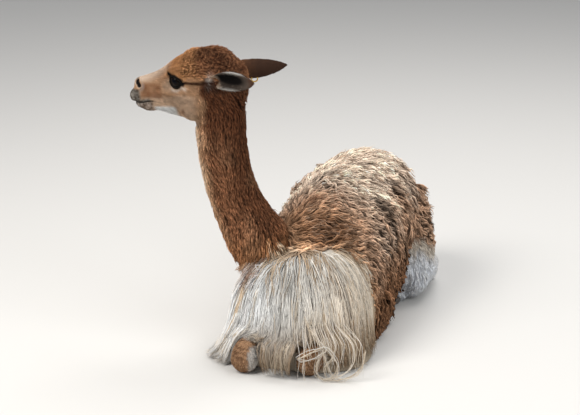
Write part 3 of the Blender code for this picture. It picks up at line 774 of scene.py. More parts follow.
class EarSpace:
    """One ear's own axes: towards the tip, across the ear, and out of its hollow."""

    def __init__(self, name, side):
        verts = node_verts(name)
        forward = head_space.inside(verts)[:, 0]
        self.middle = verts.mean(axis=0)
        self.length_axis = unit(verts[forward.argmin()] - verts[forward.argmax()])
        spread = verts - self.middle
        along = spread @ self.length_axis
        spread = spread - np.outer(along, self.length_axis)
        self.across = np.linalg.svd(spread, full_matrices=False)[2][0]
        self.hollow = unit(np.cross(self.length_axis, self.across))
        if self.hollow @ head_space.turn((0.0, side, 0.0)) < 0:
            self.hollow = -self.hollow
        self.half_width = abs(spread @ self.across).max()
        self.low, self.high = along.min(), along.max()

    def shares(self, points):
        """Share of the ear's length, and of its half width."""
        away = points - self.middle
        along = (away @ self.length_axis - self.low) / (self.high - self.low)
        return along, (away @ self.across) / self.half_width

    def colour(self, points, normals):
        """Chocolate behind; in the hollow a black middle that is painted shade deep in the hollow,
        grey-brown wool and a pale root.
        """
        along, across = self.shares(points)
        edge = abs(across)
        speck = noise(points, 0.0025, 61) * 0.5 + noise(points, 0.008, 62) * 0.5
        # painted shade deep in the ear's hollow
        dark = np.clip(1.9 * bump(np.hypot((along - 0.36) / 0.30, across / 0.52), 1.0), 0, 1)
        inside = layered(
            points, EAR_WOOL,
            (np.array(SOOT) * 0.5, dark),
            (PALE_BRIDGE, 0.70 * ramp(speck, 0.10, 0.6) * (1 - dark) * ramp(edge, 0.3, 0.7)),
            (np.array(EAR_BROWN) * 1.6, ramp(along, 0.72, 0.95)),
            (WHITE, 0.66 * ramp(edge, 0.70, 0.90) * ramp(along, 0.90, 0.62)),
            (PALE_TAN, 0.75 * ramp(along, 0.16, 0.06)))
        root = ramp(along + 0.10 * speck, 0.55, 0.10)
        return layered(points, EAR_BROWN, (np.array(RUST) * 0.8, 0.9 * root),
                       (inside, ramp(normals @ self.hollow, -0.1, 0.35)))


EAR_SPACES = {EARS[0]: EarSpace("ear_left", LEFT), EARS[1]: EarSpace("ear_right", RIGHT)}


COLOURS = {TRUNK: trunk_colour, NECK: neck_colour, HEAD: head_colour, BIB: bib_colour,
           TAIL: tail_colour, **dict.fromkeys(FORELEGS, foreleg_colour),
           **dict.fromkeys(HINDLEGS, hindleg_colour),
           **{label: space.colour for label, space in EAR_SPACES.items()}}


def markings_and_painted_light(points, normals, labels):
    """The coat's colour at each point of the body, with its painted light and shade."""
    colour = np.zeros(points.shape)
    for label in np.unique(labels):
        there = labels == label
        colour[there] = COLOURS[label](points[there], normals[there])
    return colour


# ---------------------------------------------------------------- where hairs grow
corner_a, corner_b, corner_c = (skin_verts[skin_tris[:, k]] for k in range(3))
face_areas = np.linalg.norm(np.cross(corner_b - corner_a, corner_c - corner_a), axis=1) / 2
face_labels = skin_labels[skin_tris[:, 0]]
face_middles = skin_verts[skin_tris].mean(axis=1)


def scatter(rng, faces, spacing):
    """Points spread evenly over the chosen faces of the skin, with the smooth normal at each."""
    areas = face_areas[faces]
    count = int(areas.sum() / spacing**2 * 4.0)
    order = np.argsort(rng.random(count))
    edges = np.cumsum(areas)
    picks = np.searchsorted(edges, (np.arange(count) + rng.random(count)) / count * edges[-1])
    chosen = faces[np.minimum(picks, len(faces) - 1)][order]
    u, v = rng.random((2, count))
    flip = u + v > 1
    u, v = np.where(flip, 1 - u, u), np.where(flip, 1 - v, v)
    weights = np.stack((1 - u - v, u, v), axis=1)[:, :, None]
    points = (skin_verts[skin_tris[chosen]] * weights).sum(axis=1)
    normals = unit((skin_normals[skin_tris[chosen]] * weights).sum(axis=1))
    cells = np.floor((points + 10.0) / spacing).astype(np.int64)
    keys = (cells[:, 0] * 40009 + cells[:, 1]) * 40009 + cells[:, 2]
    _, first = np.unique(keys, return_index=True)
    first = np.sort(first)
    return points[first], normals[first], face_labels[chosen][first]


def faces_where(*labels):
    return np.nonzero(np.isin(face_labels, labels))[0]


def point_tree(points):
    tree = KDTree(len(points))
    for index, point in enumerate(points.tolist()):
        tree.insert(point, index)
    tree.balance()
    return tree


def nearest(points, centres):
    """Index of the nearest centre to each point."""
    tree = point_tree(centres)
    return np.array([tree.find(p)[1] for p in points.tolist()])


def tangent(vectors, normals):
    """The vectors laid flat on the surface."""
    return unit(vectors - normals * (vectors * normals).sum(axis=-1, keepdims=True))


def turned(flow, normals, angle):
    """Directions turned about the surface normal."""
    side = np.cross(normals, flow)
    return flow * np.cos(angle)[:, None] + side * np.sin(angle)[:, None]


def box_unwrap(points, normals):
    """Place on an unwrap of the body piece: six sheets, one for each way that the skin faces."""
    axis = np.abs(normals).argmax(axis=1)
    sheet = axis * 2 + (normals[np.arange(len(axis)), axis] > 0)
    uv = np.zeros((len(points), 2))
    for number in range(6):
        there = sheet == number
        if not there.any():
            continue
        flat = np.delete(points[there], number // 2, axis=1)
        low, high = flat.min(axis=0), flat.max(axis=0)
        share = (flat - low) / np.maximum(high - low, 1e-6)
        corner = np.array((number % 3, number // 3))
        uv[there] = (corner + 0.02 + 0.95 * share) / (3.0, 2.0)
    return uv * (1 - UV_PATCH)


# ---------------------------------------------------------------- the coat's tufts as solid mesh
def tuft_mesh(name, paths, normals, widths, colours, uv, flatness=0.45):
    """Closed three-sided tufts along the paths (count, points, 3), each ending in a point.

    widths is the breadth at every path point but the last, and colours has one value for each point.
    """
    count, points = paths.shape[:2]
    rings = points - 1
    along = unit(np.gradient(paths, axis=1))[:, :rings]
    side = unit(np.cross(normals[:, None], along))
    over = np.cross(along, side)
    half = widths[:, :, None] / 2
    centre = paths[:, :rings]
    corners = np.stack((centre - side * half, centre + side * half,
                        centre + over * half * 2 * flatness), axis=2)
    verts = np.concatenate((corners.reshape(count, rings * 3, 3), paths[:, -1:]), axis=1)
    per = rings * 3 + 1
    faces = [(0, 1, 2)]
    for ring in range(rings - 1):
        for k in range(3):
            a, b = ring * 3 + k, ring * 3 + (k + 1) % 3
            faces += [(a, a + 3, b + 3), (a, b + 3, b)]
    last = (rings - 1) * 3
    faces += [(last + k, per - 1, last + (k + 1) % 3) for k in range(3)]
    faces = np.array(faces)
    tris = (faces[None] + per * np.arange(count)[:, None, None]).reshape(-1, 3)
    mesh = new_mesh(name, verts.reshape(-1, 3), tris)
    tints = np.concatenate((np.repeat(colours[:, :rings], 3, axis=1), colours[:, -1:]), axis=1)
    paint(mesh, tints.reshape(-1, 3))
    across = np.append(np.tile((0.0, 1.0, 0.5), rings), 0.5)
    down = np.append(np.repeat(np.arange(rings) / rings, 3), 1.0)
    patch = np.stack((across, down), axis=1) * UV_PATCH
    spots = (uv[:, None] + patch[None]).reshape(-1, 2)
    layer = mesh.uv_layers.new(name="OFBake")
    layer.uv.foreach_set("vector", spots[tris.ravel()].astype(np.float32).ravel())
    return mesh


def paint(mesh, colours):
    """Stores a colour for each vertex."""
    layer = mesh.color_attributes.new("Coat", "FLOAT_COLOR", "POINT")
    rgba = np.ones((len(colours), 4), np.float32)
    rgba[:, :3] = np.clip(colours, 0.0, 1.0)
    layer.data.foreach_set("color", rgba.ravel())


def add_piece(name, mesh, finish):
    obj = bpy.data.objects.new(name, mesh)
    bpy.context.scene.collection.objects.link(obj)
    mesh.materials.append(finish)
    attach(obj, "root")
    return obj


def add_tufts(name, paths, normals, widths, colours, roots, slot, finish, flatness=0.45):
    mesh = tuft_mesh(name, paths, normals, widths, colours, box_unwrap(roots, normals), flatness)
    return add_piece(name, mesh, finish)


def add_coat(name, parts, order, *columns, **look):
    """One tuft for each row of the columns, in numbered pieces along an order."""
    for number, run in enumerate(np.array_split(np.argsort(order), parts)):
        add_tufts(f"{name}_{number + 1}", *(column[run] for column in columns), **look)


def profile(count, points, base, taper=0.75, full=0.35):
    """Breadths along a tuft: base wide, full as far as a share of its length, then narrowing."""
    share = np.arange(points - 1) / (points - 1)
    shape = 1.0 - taper * ramp(share, full, 1.0)
    return np.broadcast_to(np.asarray(base).reshape(-1, 1), (count, points - 1)) * shape


def shaded(base, points, root, middle, tip_colour, tip_share, start=0.15, end=0.55):
    """Colours from a root darkened as painted shade to the base colour and on towards the tip colour."""
    share = np.linspace(0, 1, points)
    light = root + (middle - root) * ramp(share, start, end)[:, None]
    tips = np.reshape(tip_share, (-1, 1)) * ramp(share, 0.55, 1.0)
    return mix(base[:, None] * light, tip_colour, tips)


# ---------------------------------------------------------------- the lie of the coat
def trunk_flow(points, normals):
    """Across the back and down the flanks, and back over the rump."""
    down = 0.10 + 1.3 * ramp(normals[:, 2], 0.80, 0.10)
    parting = points[:, 0] + 0.105 + 0.045 * noise(points, 0.05, 30)
    flow = np.stack((np.tanh(parting / 0.035), 0.30 + 0.9 * bump(parting, 0.035), -down), axis=1)
    rump = ramp(points[:, 1], 0.50, 0.62)[:, None]
    flow = flow * (1 - rump) + np.array((0.0, 0.35, -1.0)) * rump
    hem = ramp(points[:, 2], 0.13, 0.06)[:, None]
    flow = flow * (1 - hem) + np.array((0.0, 0.25, -1.0)) * hem
    return tangent(flow, normals)


def neck_flow(points, normals):
    """Down the neck and a little towards the nape."""
    back = -head_space.x * 0.30
    swirl = noise(points, 0.045, 21) * 0.55
    return turned(tangent(back - UP, normals), normals, swirl)


def head_flow(points, normals):
    """Back from the nose, round the eyes, and down behind the jaw."""
    place = head_space.inside(points)
    side = np.sign(place[:, 1])
    x, z = place[:, 0], place[:, 2]
    flow = np.tile(-head_space.x, (len(points), 1))
    lower = ramp(z, 0.69, 0.62) * ramp(x, 0.16, 0.06)
    flow = flow - UP * (0.15 + 0.9 * lower)[:, None]
    crown = ramp(z, 0.70, 0.74) * ramp(x, 0.09, 0.05)
    flow = flow + (head_space.y[None] * side[:, None] * 0.5) * crown[:, None]
    swirl = noise(points, 0.020, 22) * (0.25 + 0.9 * crown)
    return turned(tangent(flow, normals), normals, swirl)


def down_flow(points, normals):
    return turned(tangent(np.array((0.0, 0.1, -1.0)) + 0 * normals, normals), normals,
                  noise(points, 0.03, 23) * 0.4)


def lock_centres(rng, faces, spacing, flow_of, *turns):
    """Middles of locks, each with its normal and its lie; a turn has a scale, an angle and a seed."""
    centres, normals, _ = scatter(rng, faces, spacing)
    flow = flow_of(centres, normals)
    for scale, angle, seed in turns:
        flow = turned(flow, normals, noise(centres, scale, seed) * angle)
    return centres, normals, flow


def vary(rng, count, spread):
    return 1.0 + spread * (rng.random(count)[:, None] * 2.0 - 1.0)


class Locks:
    """Hairs gathered into wavy locks that lie along their centres' flow.

    Of each hair it has the path, the lock, and the rank from 0 in the lock's middle to 1 at its edge,
    and of each point of the path the crest of the crimp from -1 to 1.
    """

    NEIGHBOURS = 14  # locks that a hair may belong to

    def __init__(self, rng, hairs, spots, points, *, breadth, length, rise, converge, crimp,
                 crimp_length, mound=0.0, stretch=2.5, stray=0.10, unison=0.7, lowest=None):
        self.rng, self.points = rng, points
        self.roots, self.normals, self.labels = hairs
        roots, normals = self.roots, self.normals
        centres, flow = spots[0], spots[2]
        self.spots = len(centres)
        self.lock = lock = self.own_lock(centres, flow, stretch)
        share = np.linspace(0.0, 1.0, points)[None, :, None]
        length, rise = (np.broadcast_to(v, len(centres)) for v in (length, rise))
        size = (length * (0.8 + 0.45 * rng.random(len(centres))))[lock]
        size = (size * (0.85 + 0.3 * rng.random(len(roots))))[:, None, None]
        lift = (rise * (0.65 + 0.7 * rng.random(len(centres))))[lock]
        shared = flow[lock]
        own = unit(tangent(shared, normals) + stray * rng.standard_normal(roots.shape))
        offset = roots - centres[lock]
        along = (offset * shared).sum(axis=1)
        offset = offset - shared * along[:, None]
        offset = offset - normals * (offset * normals).sum(axis=1, keepdims=True)
        self.rank = np.clip(np.linalg.norm(offset, axis=1) / breadth, 0.0, 1.0)
        lift = (lift + mound * (1.0 - self.rank**2))[:, None, None]
        height = lift * (1 - (1 - share) ** 2.2) * (1 - 0.30 * share**2) - 0.0012 * (1 - share)
        loose = math.tau * rng.random(len(centres)) * (1 - unison)
        together = math.tau * 1.4 * noise(centres, 0.07, 29) * unison
        reach = size * share
        phase = ((along[:, None, None] + reach) / crimp_length * math.tau
                 + (loose + together)[lock][:, None, None])
        wave = crimp * np.sin(phase) * ramp(share, 0.0, 0.30)
        crest = np.cos(phase)
        paths = roots[:, None] + own[:, None] * reach + np.cross(normals, own)[:, None] * wave
        paths = paths + normals[:, None] * (height + 0.6 * crimp * crest * ramp(share, 0.1, 0.4))
        self.paths = paths - offset[:, None] * (converge * ramp(share, 0.1, 1.0))
        if lowest is not None:
            self.paths[:, :, 2] = np.maximum(self.paths[:, :, 2], lowest)
        self.crest = crest[:, :, 0]

    def own_lock(self, centres, flow, stretch):
        """The lock of each hair: locks are longer along the lie of the coat than across it."""
        tree = point_tree(centres)
        wanted = min(self.NEIGHBOURS, len(centres))
        found = np.array([[hit[1] for hit in tree.find_n(p, wanted)] for p in self.roots.tolist()])
        away = self.roots[:, None] - centres[found]
        along = (away * flow[found]).sum(axis=2)
        across = (away**2).sum(axis=2) - along**2
        best = ((along / stretch) ** 2 + across).argmin(axis=1)
        return found[np.arange(len(found)), best]

    def tint(self, lock_spread, hair_spread, edge, root, middle, tip, tip_share, crest=0.0):
        """Colours: each lock and hair has its own tone, edge is the light by rank as painted shade
        towards a lock's edge, root is the painted shade at the hair's root, crest paints highlight and
        shade along the crimp, and tips fade.
        """
        base = markings_and_painted_light(self.roots, self.normals, self.labels)
        base = base * vary(self.rng, self.spots, lock_spread)[self.lock]
        base = base * vary(self.rng, len(self.roots), hair_spread) * edge[:, None]
        tips = tip_share * self.rng.random(len(self.roots))
        colours = shaded(base, self.points, root, middle, tip, tips)
        self.colours = colours * (1.0 + crest * self.crest)[:, :, None]

    def columns(self, width, spread, *shape):
        """What add_tufts takes for every hair."""
        count = len(self.roots)
        widths = profile(count, self.points, width * vary(self.rng, count, spread), *shape)
        return self.paths, self.normals, widths, self.colours, self.roots


# ---------------------------------------------------------------- finishes
def add_node(tree, kind, values, **links):
    """A shader node with some input values, fed by other nodes' outputs."""
    node = tree.nodes.new(kind)
    for name, value in values.items():
        node.inputs[name].default_value = value
    for name, source in links.items():
        tree.links.new(source, node.inputs[name])
    return node


class Finish:
    """A material whose grain shades its colour and its surface."""

    def __init__(self, name, roughness, grain, detail=3.0, stretch=(1.0, 1.0, 1.0)):
        self.material = bpy.data.materials.new(name)
        self.material.use_nodes = True
        self.tree = self.material.node_tree
        self.shader = self.tree.nodes["Principled BSDF"]
        self.shader.inputs["Roughness"].default_value = roughness
        place = self.tree.nodes.new("ShaderNodeTexCoord").outputs["Object"]
        mapping = add_node(self.tree, "ShaderNodeMapping", {"Scale": stretch}, Vector=place)
        noise_node = add_node(self.tree, "ShaderNodeTexNoise", {"Scale": grain, "Detail": detail},
                              Vector=mapping.outputs["Vector"])
        self.grain = noise_node.outputs["Fac"]

    def dress(self, colour, **relief):
        """Links a colour, and a relief from the grain."""
        bump_node = add_node(self.tree, "ShaderNodeBump", relief, Height=self.grain)
        self.tree.links.new(colour, self.shader.inputs["Base Color"])
        self.tree.links.new(bump_node.outputs["Normal"], self.shader.inputs["Normal"])
        return self.material


def painted_finish(name, roughness, grain, depth, light, specular):
    """The painted coat colour with a fine grain in its lightness and its surface."""
    finish = Finish(name, roughness, grain)
    colour = finish.tree.nodes.new("ShaderNodeAttribute")
    colour.attribute_name = "Coat"
    limits = {"From Min": 0.3, "From Max": 0.7, "To Min": light[0], "To Max": light[1]}
    remapped = add_node(finish.tree, "ShaderNodeMapRange", limits, Value=finish.grain)
    shade = finish.tree.nodes.new("ShaderNodeVectorMath")
    shade.operation = "SCALE"
    finish.tree.links.new(colour.outputs["Color"], shade.inputs[0])
    finish.tree.links.new(remapped.outputs["Result"], shade.inputs["Scale"])
    finish.shader.inputs["Specular IOR Level"].default_value = specular
    return finish.dress(shade.outputs["Vector"], Strength=0.6, Distance=depth)


def graded_finish(name, roughness, grain, depth, dark, light, **pattern):
    """A worn surface whose colour wanders between a dark and a light one."""
    finish = Finish(name, roughness, grain, **pattern)
    colours = add_node(finish.tree, "ShaderNodeValToRGB", {}, Fac=finish.grain)
    for element, colour in zip(colours.color_ramp.elements, (dark, light)):
        element.color = (*colour, 1)
    return finish.dress(colours.outputs["Color"], Distance=depth)


skin_finish = painted_finish("skin_under_coat", 0.90, 900.0, 0.0008, (0.7, 1.1), 0.05)
wool_finish = painted_finish("matted_wool", 0.92, 700.0, 0.0006, (0.80, 1.18), 0.06)
short_finish = painted_finish("short_fur", 0.82, 900.0, 0.0003, (0.85, 1.15), 0.10)
long_finish = painted_finish("long_hair", 0.70, 600.0, 0.0003, (0.90, 1.08), 0.20)
eye_finish = painted_finish("moist_eye", 0.05, 1500.0, 0.0, (0.8, 1.2), 0.06)
rim_finish = painted_finish("moist_lid", 0.55, 1200.0, 0.0002, (0.8, 1.2), 0.06)
horn_finish = graded_finish("horn", 0.45, 260.0, 0.0004, (0.020, 0.015, 0.012), (0.110, 0.085, 0.065),
                            detail=4.0, stretch=(1.0, 0.15, 1.0))
tag_finish = graded_finish("tag_plastic", 0.4, 500.0, 0.0001, (0.42, 0.22, 0.03), (0.72, 0.45, 0.08))
FUR = {"slot": "short_fur", "finish": short_finish}
LONG = {"slot": "long_hair", "finish": long_finish}

# ---------------------------------------------------------------- the coat, piece by piece
FLEECE_SPACING = 0.0051
FLEECE_LOCKS = 0.0185
NECK_SPACING = 0.0027
NECK_LOCKS = 0.0085
FACE_SPACING = 0.00150
CROWN_SPACING = 0.0026
CROWN_LOCKS = 0.0084
EAR_SPACING = 0.0016
BIB_SPACING = 0.0036
BIB_LOCKS, BIB_BUNCHES = 0.0125, 0.030
NAPE = np.array((-0.1195, -0.0660, 0.632))  # where the neck's hair fills the dip behind the head


def hairs_on(rng, faces, spacing):
    """Roots, normals and labels of hairs on some faces of the skin."""
    return scatter(rng, faces, spacing / math.sqrt(HAIR_SHARE))


def grow_fleece():
    """Crimped ropes of matted wool over the trunk, the tail and the tops of the hind legs."""
    rng = np.random.default_rng(11)
    faces = faces_where(TRUNK, TAIL, *HINDLEGS)
    middle = face_middles[faces]
    bare = np.isin(face_labels[faces], HINDLEGS) & (woolly_leg(middle) < 0.5)
    faces = faces[(middle[:, 2] > 0.010) & ~bare]
    hairs = roots, normals, _ = hairs_on(rng, faces, FLEECE_SPACING)
    spots, spot_normals, flow = lock_centres(rng, faces, FLEECE_LOCKS, trunk_flow,
                                             (0.09, 0.55, 31), (0.035, 0.30, 32))
    x, y, z = spots.T
    flank = ramp(y, 0.25, 0.38) * ramp(spot_normals[:, 2], 0.80, 0.50)
    wild = ramp(noise(spots, 0.03, 33) + 0.55 * flank, 0.40, 0.80)
    flow = turned(flow, spot_normals, wild * rng.uniform(-0.8, 0.8, len(spots)))
    thigh = ramp(y, 0.36, 0.44) * ramp(z, 0.25, 0.18)
    top = ramp(spot_normals[:, 2], 0.45, 0.90)
    hem = ramp(y, 0.22, 0.29) * (1.0 - woolly_leg(spots)) * ramp(y, 0.56, 0.50)
    outer = ramp(abs(x), 0.110, 0.135) * ramp(y, 0.43, 0.49)
    wild = wild * (1.0 - 0.80 * outer)
    lip = bump(line_distance((spots - (0.0, 0.018, 0.004)) * FOLD_SCALE, FOLD * FOLD_SCALE), 0.013)
    thin = 1.0 - 0.80 * hem - 0.62 * np.maximum(thigh, outer) * (1.0 - hem) + 1.3 * lip
    wool = Locks(
        rng, hairs, (spots, spot_normals, flow), 5, breadth=0.0052, converge=0.88,
        length=(0.046 + 0.006 * wild) * (1.0 - 0.45 * thigh) * (1.0 - 0.45 * hem),
        rise=(0.0064 - 0.0028 * top + 0.0150 * wild**2) * thin,
        crimp=0.0040, crimp_length=0.030, mound=0.0070 * thin[nearest(roots, spots)], stretch=3.8,
        stray=0.05, unison=0.80, lowest=0.003)
    top = top[wool.lock]
    dust = 0.18 * ramp(roots[:, 2], 0.16, 0.28) * ramp(roots[:, 1], 0.50, 0.44)
    dust = 0.08 + dust + 0.28 * ramp(normals[:, 2], 0.2, 0.9)
    # painted shade: each hair is darker towards its lock's edge and at its root, less so on top
    edge = 1.48 - 1.36 * wool.rank**1.1 * (1.0 - 0.50 * top)
    root = (0.70 - 0.50 * wool.rank * (1.0 - 0.5 * top))[:, None, None]
    # crest paints highlight on the crimp's crests and shade in its troughs
    wool.tint(0.36, 0.12, edge * (1.0 + 0.32 * noise(roots, 0.030, 34)), root, 1.10, FLEECE_DUST,
              dust * (1.0 - 0.7 * wool.rank), crest=0.26)
    # painted shadow along the fold in the flank, and painted shade in hollows spread at random over the
    # wool
    along = wool.paths.reshape(-1, 3)
    ragged = along + 0.004 * noise(along, 0.012, 35)[:, None]
    fold = bump(line_distance(ragged * FOLD_SCALE, FOLD * FOLD_SCALE), 0.0150)
    hollow = ramp(noise(along, 0.017, 36), 0.25, 0.75) * (0.50 - 0.28 * np.repeat(top, wool.points))
    wool.colours *= ((1.0 - 0.90 * fold) * (1.0 - hollow)).reshape(len(roots), wool.points, 1)
    add_coat("fleece", 4, roots[:, 1], *wool.columns(0.0044, 0.25, 0.45, 0.5), slot="fleece",
             finish=wool_finish, flatness=0.40)


def neck_share(points):
    """How much of the head's coat is like the neck's: all of it behind the jaw and under the ear."""
    place = head_space.inside(points)
    edge = place[:, 0] + 0.010 * noise(points, 0.012, 42)
    return ramp(edge, 0.036, 0.006) * ramp(place[:, 2], 0.690, 0.668)


def painted_edge_shade(rank):
    """The light of a hair by its rank in its lock, on the neck and the crown: painted shade towards the
    lock's edge.
    """
    return 1.34 - 1.00 * rank**1.2


def grow_neck():
    """Wavy rust hair running down from the jaw's back over the neck in dark-edged streaks."""
    rng = np.random.default_rng(12)
    faces = faces_where(NECK, HEAD)
    faces = faces[(face_labels[faces] == NECK) | (neck_share(face_middles[faces]) > 0.05)]
    roots, normals, labels = hairs_on(rng, faces, NECK_SPACING)
    keep = (labels == NECK) | (rng.random(len(roots)) < neck_share(roots))
    hairs = roots, _, labels = roots[keep], normals[keep], labels[keep]
    spots = lock_centres(rng, faces, NECK_LOCKS, neck_flow, (0.014, 0.25, 41))
    low = ramp(spots[0][:, 2], 0.42, 0.28)
    on_head = ramp(spots[0][:, 2], 0.600, 0.625)
    throat = np.maximum(bump(gap_to(spots[0], THROAT_POINT[0]), 0.050),
                        1.5 * bump(gap_to(spots[0], NECK_FOOT), 0.040))
    nape = bump(gap_to(spots[0], NAPE), 0.024)
    streaks = Locks(
        rng, hairs, spots, 3, breadth=0.0036, converge=0.62,
        length=(0.0160 + 0.008 * low) * (1.0 - 0.35 * on_head) + 0.024 * throat,
        rise=(0.0048 + 0.0022 * low) * (1.0 - 0.55 * on_head) + 0.007 * throat + 0.011 * nape,
        crimp=0.0012, crimp_length=0.017, mound=0.0018 * (1.0 - 0.6 * (labels == HEAD)), stretch=3.0,
        stray=0.06)
    # painted shade towards the lock edges and at the roots, and painted highlight and shade along the
    # crimp
    streaks.tint(0.28, 0.16, painted_edge_shade(streaks.rank), 0.30, 1.15, TAN, 0.22, crest=0.22)
    width = 0.0016 + 0.0008 * ramp(roots[:, 2:], 0.42, 0.28)
    add_coat("neck_hair", 2, roots[:, 2], *streaks.columns(width, 0.2), **FUR)


def bare_on_head(roots):
    """Where no hair grows: between the lids, in the nostrils and between the lips."""
    place = head_space.inside(roots)
    place[:, 1] = abs(place[:, 1])
    along, above, out, distance = eye_coordinates(place)
    eye = (lid_gap(along, above) < 0.0030) & (distance < 0.030) & (out > 0)
    mouth = (abs(place[:, 2] - mouth_height(place[:, 0])) < 0.0013) & (place[:, 0] > 0.148)
    return eye | mouth | (nostril_distance(place) < 0.0054)


def band_light(paths):
    """The light that the crown's bands leave at each point of the paths."""
    return 1.0 - 0.70 * crown_bands(paths.reshape(-1, 3)).reshape(*paths.shape[:2], 1)


def straight_tufts(roots, normals, flow, length, rise, depth):
    """Two-point paths that start a little under the skin."""
    tips = roots + flow * length[:, None] + normals * rise[:, None]
    return np.stack((roots - normals * depth, tips), axis=1)


def grow_head():
    """Short hair lying back over the face, and a woolly crown."""
    rng = np.random.default_rng(13)
    hairs = hairs_on(rng, faces_where(HEAD), FACE_SPACING)
    place = head_space.inside(hairs[0])
    woolly = np.maximum(ramp(place[:, 2], 0.695, 0.725) * ramp(place[:, 0], 0.085, 0.045),
                        ramp(place[:, 0], 0.045, 0.000))
    sparse = np.maximum(0.45 * woolly, 0.9 * neck_share(hairs[0]))
    keep = ~bare_on_head(hairs[0]) & (rng.random(len(place)) > sparse)
    roots, normals, labels, place, woolly = (v[keep] for v in (*hairs, place, woolly))
    muzzle = ramp(place[:, 0], 0.11, 0.17)
    along, above, out, distance = eye_coordinates(np.abs(place * (0, 1, 0)) + place * (1, 0, 1))
    lid = ramp(lid_gap(along, above), 0.016, 0.004) * (distance < 0.04) * (out > 0)
    border = ramp(neck_share(roots), 0.0, 0.3)
    length = (0.0072 - 0.0040 * muzzle - 0.0036 * lid + 0.0012 * woolly) * (1.0 - 0.5 * border)
    length = length * (0.75 + 0.5 * rng.random(len(roots)))
    flow = head_flow(roots, normals)
    flow = turned(flow, normals, rng.standard_normal(len(roots)) * (0.10 + 0.25 * woolly))
    rise = length * (0.16 + 0.14 * rng.random(len(roots)) + 0.10 * woolly)
    paths = straight_tufts(roots, normals, flow, length, rise, 0.0006)
    lying = place * (0.35, 1.0, 1.0)
    streak = 1.0 + 0.44 * noise(lying, 0.0030, 51) + 0.20 * noise(lying, 0.008, 53)
    base = markings_and_painted_light(roots, normals, labels) * streak[:, None] * vary(rng, len(roots), 0.22)
    # each hair is darker at its root as painted shade, and lighter at its tip
    colours = np.stack((base * 0.72, base * 1.18), axis=1) * band_light(paths)
    widths = (0.0009 + 0.0004 * woolly - 0.0003 * muzzle)[:, None]
    add_coat("head_hair", 1, place[:, 0], paths, normals, widths, colours, roots, **FUR, flatness=0.5)


def grow_crown():
    """Curly tufts that break the outline of the crown."""
    rng = np.random.default_rng(14)
    faces = faces_where(HEAD)
    place = head_space.inside(face_middles[faces])
    faces = faces[(place[:, 2] > 0.690) & (place[:, 0] < 0.076)]
    hairs = hairs_on(rng, faces, CROWN_SPACING)
    spots = lock_centres(rng, faces, CROWN_LOCKS, head_flow, (0.014, 1.3, 52))
    curls = Locks(rng, hairs, spots, 4, breadth=0.0034, length=0.0115, rise=0.0036, converge=0.74,
                  crimp=0.0017, crimp_length=0.012, mound=0.0018, stretch=2.2)
    # painted shade towards the lock edges and at the roots, and painted highlight and shade along the
    # crimp
    curls.tint(0.22, 0.12, painted_edge_shade(curls.rank), 0.42, 1.15, GOLD, 0.12, crest=0.28)
    curls.colours *= band_light(curls.paths)
    add_tufts("crown_hair", *curls.columns(0.0015, 0.2), **FUR)


def grow_ears():
    """Short hair towards the tips, with a longer pale fringe inside."""
    for label, side in zip(EARS, ("left", "right")):
        rng = np.random.default_rng(60 + label)
        space = EAR_SPACES[label]
        roots, normals, labels = hairs_on(rng, faces_where(label), EAR_SPACING)
        along, across = space.shares(roots)
        fringe = ramp(abs(across), 0.35, 0.8) * ramp(along, 0.9, 0.5)
        fringe = fringe * ramp(normals @ space.hollow, 0.0, 0.4)
        length = 0.0042 + 0.0060 * fringe + 0.0030 * ramp(along, 0.2, 0.0)
        length = length * (0.7 + 0.6 * rng.random(len(roots)))
        outwards = (np.sign(across) * fringe)[:, None] * space.across
        stray = rng.standard_normal(roots.shape)
        flow = tangent(space.length_axis - 0.5 * outwards + 0.15 * stray, normals)
        paths = straight_tufts(roots, normals, flow, length, length * (0.08 + 0.15 * fringe), 0.0004)
        base = markings_and_painted_light(roots, normals, labels) * vary(rng, len(roots), 0.2)
        # each hair is darker at its root as painted shade, and lighter at its tip
        colours = np.stack((base * 0.8, base * 1.15), axis=1)
        widths = np.full((len(roots), 1), 0.0008)
        add_tufts(f"ear_hair_{side}", paths, normals, widths, colours, roots, **FUR, flatness=0.4)


def grow_legs():
    """Short hair on the knees, stifles and shanks."""
    for name, nodes, spacing, length, rise, width, crimp in (
            ("foreleg_hair", FORELEGS, 0.0019, 0.0070, 0.0012, 0.0012, 0.0003),
            ("hindleg_hair", HINDLEGS, 0.0036, 0.0240, 0.0042, 0.0021, 0.0006)):
        rng = np.random.default_rng(82)
        faces = faces_where(*nodes)
        middle = face_middles[faces]
        wool = np.isin(face_labels[faces], HINDLEGS) & (woolly_leg(middle) > 0.9)
        faces = faces[(middle[:, 2] > 0.004) & ~wool]
        hairs = hairs_on(rng, faces, spacing)
        spots = lock_centres(rng, faces, spacing * 3.2, down_flow, (0.01, 0.3, 71))
        fur = Locks(rng, hairs, spots, 3, breadth=spacing * 1.4, length=length, rise=rise,
                    converge=0.55, crimp=crimp, crimp_length=0.024, mound=0.0006, stretch=3.0,
                    lowest=0.0012)
        # painted shade towards the lock edges and at the roots
        fur.tint(0.10, 0.12, 1.06 - 0.34 * fur.rank, 0.66, 1.06, WHITE, 0.08)
        add_tufts(name, *fur.columns(width, 0.2), **FUR)


# ---------------------------------------------------------------- the bib of long hair
BIB_MIDDLE = np.array((0.0, -0.007))
BIB_DEPTH = 0.0165  # of hair over the skin
BEARINGS = np.radians(np.linspace(-215.0, 35.0, 101))
PROFILE_HEIGHTS = np.linspace(0.345, 0.003, 150)
PROFILE_STEP = 0.004
RAY_LENGTH = 0.6
KNEE_WINDOW = 9  # bearings on each side that a hollow left by a knee may reach
KNEE_TOP = 0.120  # height below which the knees stand out of the chest
SWEEP = -2.58  # bearing at which the bib spreads out over the floor, to the animal's right
KNEE_RADII = np.array((0.0355, 0.042, 0.0365))
KNEE_STOP = {LEFT: 0.112, RIGHT: 0.116}  # from the floor's edge up to the hair's end over a knee


